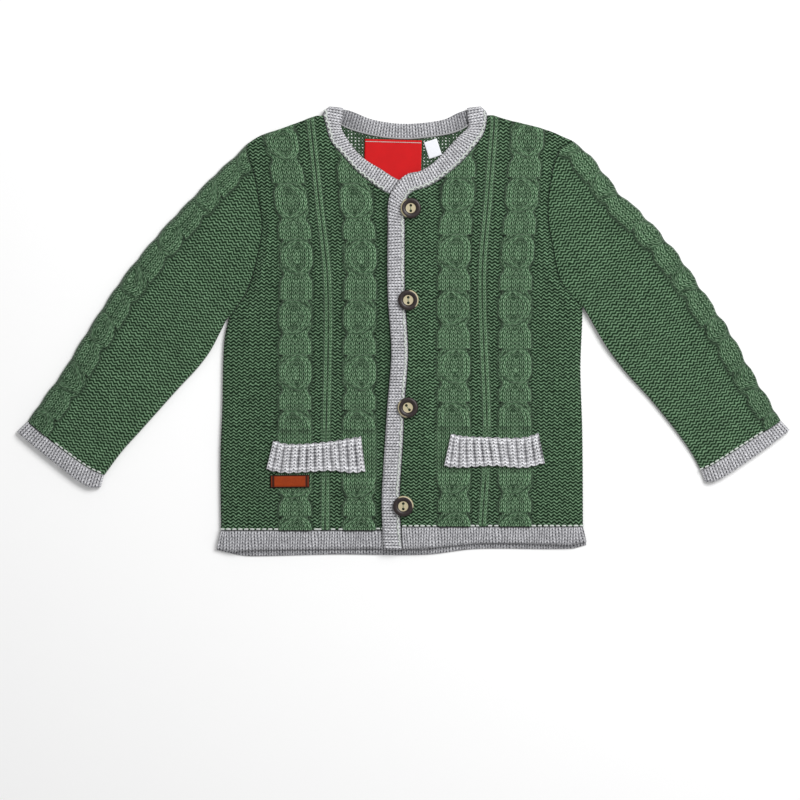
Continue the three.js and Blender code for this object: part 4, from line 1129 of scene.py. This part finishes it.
redWoven = wovenMaterial("redWoven", srgb(218, 12, 18), srgb(180, 4, 10), 2.2)
whiteWoven = wovenMaterial("whiteWoven", srgb(244, 245, 248), srgb(222, 224, 230), 2.6)
plates = [
    ("hem_patch", "leather", patch, seatZ, leatherMaterial(), "patch_leather", (0.0315, 0.0102),
     "front_left"),
    ("neck_label", "woven", neckLabel, outerBase, redWoven, "label_red", (0.0455, 0.0354), "back"),
    ("size_tag", "woven", sizeTag, outerBase, whiteWoven, "tag_white", (0.0106, 0.0138), "back"),
]
for node, kind, look, low, material, slot, flat, below in plates:
    layCloth(plateCloth(f"{node}_{kind}", look, low), material, slot, node, flat, rests_on=[f"{below}_cloth"])
print("patch and labels made")

# Buttons
button = dict(
    radius=8.2,
    thick=3.2,
    hole=1.05,
    holeOff=2.15,
    pale=70,
    around=72,
    paleFrom=0.88,  # share of the radius
    centreTo=0.5,
    profile=[  # shares of radius and thick
        (0.8, 0), (0.93, 0.1), (1, 0.36), (1, 0.62), (0.965, 0.84), (0.9, 0.96), (0.8, 1.0), (0.68, 0.98),
        (0.58, 0.9), (0.52, 0.76), (0.46, 0.68), (0.3, 0.66), (0.06, 0.66),
    ],
)
buttonRows = [  # x, y, turn of the holes, middle of the pale edge in degrees
    (6.6, 97.1, 0, 180),
    (4.6, 23.7, 0, 20),
    (4.3, -62.1, 35, 200),
    (0.6, -140.8, 0, 55),
]
buttonLow = frontBase + lap["lift"] + bandKnit["crown"] + knit["gap"]


def hornMaterial():
    net = Net("darkHorn", Specular_IOR_Level=0.4, Coat_Weight=0.12, Coat_Roughness=0.25)
    streaks = net.noise(net.stretched(net.place(), (900, 500, 300)), 1.0, 4.0, 0.65)
    rings = net.noise(net.stretched(net.place(), (2600, 2600, 900)), 1.0, 3.0)
    dark = net.mix(streaks, srgb(12, 7, 8), srgb(50, 35, 33))
    pale = net.mix(rings, srgb(152, 142, 108), srgb(212, 201, 168))
    colour = net.mix(net.attribute("deep"), dark, pale)
    return net.finish(colour, streaks * 0.25 + 0.28, streaks + rings, 0.25, 0.0002)


def evaluated(thing):  # the mesh with its modifiers applied, which are then gone
    bpy.context.view_layer.update()
    mesh = bpy.data.meshes.new_from_object(thing.evaluated_get(bpy.context.evaluated_depsgraph_get()))
    thing.modifiers.clear()
    return mesh


def buttonDisc(name, x, y, turn, paleAt, material):
    profile = smoothLine(button["profile"], 4)
    share, high = profile[:, :1], profile[:, 1:]
    angle = np.linspace(0, 2 * np.pi, button["around"], endpoint=False)[None, :]
    r = share * button["radius"]
    place = together(r * np.cos(angle), r * np.sin(angle), high * button["thick"])
    fromPale = np.abs((angle - math.radians(paleAt) + np.pi) % (2 * np.pi) - np.pi)
    atEdge = (share > button["paleFrom"]) * (high > 0.3)
    crescent = atEdge * soft((math.radians(button["pale"]) - fromPale) / 0.3)
    centre = soft((button["centreTo"] - share) / 0.03) * (high > 0.5)
    cloth = Cloth(name)
    ids = cloth.grid(place, u=angle, v=r, purl=0.0, deep=np.maximum(crescent, centre))
    cloth.cover(np.concatenate([ids, ids[:, :1]], axis=1))
    cloth.rim(ids[0][::-1])
    cloth.rim(ids[-1])
    disc = cloth.finish(material, "button_horn")
    for side in (-1, 1):
        bpy.ops.mesh.primitive_cylinder_add(vertices=20, radius=button["hole"] * mm, depth=0.02,
                                            location=(0, side * button["holeOff"] * mm, 0))
        cutter = bpy.context.object
        cut = disc.modifiers.new("hole", "BOOLEAN")
        cut.object, cut.solver = cutter, "EXACT"
        disc.data = evaluated(disc)
        bpy.data.objects.remove(cutter)
    places = np.array([v.co for v in disc.data.vertices])
    turned = np.column_stack([*turnedBy(turn, places[:, 0], places[:, 1]), places[:, 2]])
    turned += np.array([x, y, buttonLow]) * mm
    disc.data.vertices.foreach_set("co", turned.astype(np.float32).ravel())
    return disc


horn = hornMaterial()
for i, (x, y, turn, paleAt) in enumerate(buttonRows):
    disc = buttonDisc(f"button_{i + 1}_disc", x, y, turn, paleAt - turn, horn)
    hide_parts(f"button_{i + 1}")
print("buttons made")


# Seam stitches: one node group lays small bent threads along a line
def stitchGroup():
    group = bpy.data.node_groups.new("seamStitches", "GeometryNodeTree")
    kinds = dict(Geometry="Geometry", Spacing="Float", Length="Float", Thickness="Float", Arch="Float",
                 Variation="Float", Seed="Int", Thread="Material")
    for name, kind in kinds.items():
        group.interface.new_socket(name, in_out="INPUT", socket_type="NodeSocket" + kind)
    group.interface.new_socket("Geometry", in_out="OUTPUT", socket_type="NodeSocketGeometry")
    given = group.nodes.new("NodeGroupInput").outputs

    def add(kind, inputs=(), out=0, **options):
        return addNode(group, kind, inputs, out, **options)

    def calc(operation, a, b):
        return add("ShaderNodeMath", {0: a, 1: b}, operation=operation)

    line = add("GeometryNodeMeshToCurve", {0: given["Geometry"]})
    even = add("GeometryNodeResampleCurve", dict(Curve=line, Length=given["Spacing"]), mode="LENGTH")
    halves = [calc("MULTIPLY", given["Length"], share) for share in (-0.5, 0.5)]
    start, end = (add("ShaderNodeCombineXYZ", {0: half}) for half in halves)
    middle = add("ShaderNodeCombineXYZ", {1: given["Arch"], 2: given["Thickness"]})
    bent = add("GeometryNodeCurveQuadraticBezier", dict(Resolution=6, Start=start, Middle=middle, End=end))
    ring = add("GeometryNodeCurvePrimitiveCircle", dict(Resolution=6, Radius=given["Thickness"]))
    sweep = add("GeometryNodeCurveToMesh", {"Curve": bent, "Profile Curve": ring, "Fill Caps": True})
    tangent = add("GeometryNodeInputTangent")
    turn = add("FunctionNodeAlignEulerToVector", dict(Vector=tangent), axis="X", pivot_axis="Z")
    least, most = (calc(operation, 1.0, given["Variation"]) for operation in ("SUBTRACT", "ADD"))
    size = add("FunctionNodeRandomValue", {2: least, 3: most, "Seed": given["Seed"]}, 1)
    laid = add("GeometryNodeInstanceOnPoints", dict(Points=even, Instance=sweep, Rotation=turn, Scale=size))
    real = add("GeometryNodeRealizeInstances", {0: laid})
    painted = add("GeometryNodeSetMaterial", dict(Geometry=real, Material=given["Thread"]))
    put(group, group.nodes.new("NodeGroupOutput").inputs[0], painted)
    return group


stitches = stitchGroup()


def sew(name, line, slot="band_grey", thread=paleThread, seed=1, variation=0.1, **sizes):  # all in mm
    mesh = bpy.data.meshes.new(name)
    mesh.from_pydata([tuple(p * mm) for p in line], [(i, i + 1) for i in range(len(line) - 1)], [])
    thing = addObject(name, mesh)
    laid = thing.modifiers.new("stitches", "NODES")
    laid.node_group = stitches
    values = {size.capitalize(): value * mm for size, value in sizes.items()}
    values.update(Variation=variation, Seed=seed, Thread=thread)
    for item in stitches.interface.items_tree:
        if item.in_out == "INPUT" and item.name in values:
            laid[item.identifier] = values[item.name]
    thing.data = evaluated(thing)
    thing.data.name = name
    return own(thing, slot)


def alongBand(front, lift, toY, inward=0.9, fromY=174):  # a line beside the band's sewn edge
    line = front.band
    keep = line[(line[:, 1] <= fromY) & (line[:, 1] >= toY)]
    toFree = keep[:, 2:] - keep[:, :2]
    x, y = (keep[:, :2] + toFree / np.linalg.norm(toFree, axis=1)[:, None] * inward).T
    return np.column_stack([x, y, front.base(x, y) + lift])


edgeLoops = dict(spacing=4.4, length=4.5, thickness=0.6, variation=0.22)
sew("edge_loops_right", alongBand(rightFront, 2.6, -172), arch=-3.2, **edgeLoops)
sew("edge_loops_left", alongBand(leftFront, 2.5, 112), arch=3.2, seed=3, **edgeLoops)
labelLine = np.linspace((-28.8, 150.9, outerBase + 0.75), (14, 149.8, outerBase + 0.75), 20)
sew("label_stitches", labelLine, "label_red", seed=4, spacing=1.7, length=1.5, thickness=0.25, arch=0.05)

dash = dict(spacing=4.35, length=2.8, thickness=0.7, arch=0.25)
cuffDashRows = [("left", leftSleeveShape, -277, -243, 13), ("right", rightSleeveShape, 239.5, 287, 14)]
for side, shape, x0, x1, seed in cuffDashRows:
    line, _ = evenly(smoothLine(shape["cuff"]), 200)
    x, y = line[(line[:, 0] > x0) & (line[:, 0] < x1)].T
    line = np.column_stack([x - shape["sign"] * 0.5, y + 0.7, np.full(x.shape, sleeveTop + 0.1)])
    sew(f"cuff_dashes_{side}", line, seed=seed, **dash)

roll = np.array([(x, y + 0.5, knit["back"] + 0.15) for x, y, _, _ in backBandRows])
sew("neckband_roll", smoothLine(roll)[4:-4], thread=greyThread, seed=15, variation=0.15,
    spacing=2.4, length=3.2, thickness=0.62, arch=0.35)

yarnRow = [  # share of the way to the hole, height; down both holes
    (-0.72, -1.9), (-0.72, -1.0), (-0.68, -0.3), (-0.5, 0), (0, 0.1), (0.5, 0), (0.68, -0.3), (0.72, -1.0),
    (0.72, -1.9),
]
for i, (x, y, turn, _) in enumerate(buttonRows):
    toHole = np.array(turnedBy(turn + 90, button["holeOff"], 0))
    line = np.array([(*(share * toHole + (x, y)), high + buttonLow + 2.2) for share, high in yarnRow])
    sew(f"button_thread_{i + 1}", line, "knit_green", greenThread, 20 + i,
        spacing=0.45, length=0.7, thickness=0.2, arch=0.1)

dashRows = [
    (leftFront, -144, -101, -159.4), (leftFront, -69, -66, -159.4), (leftFront, -55.5, -49.5, -159.4),
    (leftFront, -19.5, -15.5, -158.9), (rightFront, 1.5, 25.5, -156.6), (rightFront, 56, 60.5, -156.6),
    (rightFront, 70, 75, -156.6), (rightFront, 105, 143.5, -156.6),
]
for i, (front, x0, x1, y) in enumerate(dashRows):
    xs, ys = np.linspace(x0, x1, 30), np.full(30, y)
    line = np.column_stack([xs, ys, front.base(xs, ys) + knit["wall"] - 0.1])
    sew(f"hem_dashes_{i + 1}", line, seed=5 + i, **dash)
print("stitches laid")

# Floor, light and camera
look = dict(
    floor=srgb(252, 252, 252),
    span=640,  # millimetres across the picture
    film=36,
    knitTop=0.004,  # metres above the floor, where the span is measured
    middle=(-2, -56),
    distance=2.4,
    world=0.5,
    key=(0.75, 0.75, 1.35),
    keyPower=26,
    keySize=0.9,
)
bpy.ops.mesh.primitive_plane_add(size=8, location=(0, 0, -0.0002))
floor = bpy.context.object
floor.name = "floor"
floor.data.materials.append(plainMaterial("paleFloor", look["floor"], 0.85, 0.01, 60, 0.02))

world = bpy.data.worlds.new("softDay")
world.use_nodes = True
background = world.node_tree.nodes["Background"].inputs
background["Color"].default_value, background["Strength"].default_value = (1, 1, 1, 1), look["world"]
bpy.context.scene.world = world

key = addObject("keyLight", bpy.data.lights.new("keyLight", "AREA"))
key.data.energy, key.data.size = look["keyPower"], look["keySize"]
key.location = look["key"]
key.rotation_euler = (-key.location).to_track_quat("-Z", "Y").to_euler()

camera = addObject("camera", bpy.data.cameras.new("camera"))
camera.location = (look["middle"][0] * mm, look["middle"][1] * mm, look["distance"])
camera.data.sensor_width = look["film"]
camera.data.lens = look["film"] * (look["distance"] - look["knitTop"]) / (look["span"] * mm)
camera.data.clip_end = 20
bpy.context.scene.camera = camera
bpy.context.scene.view_settings.view_transform = "Standard"
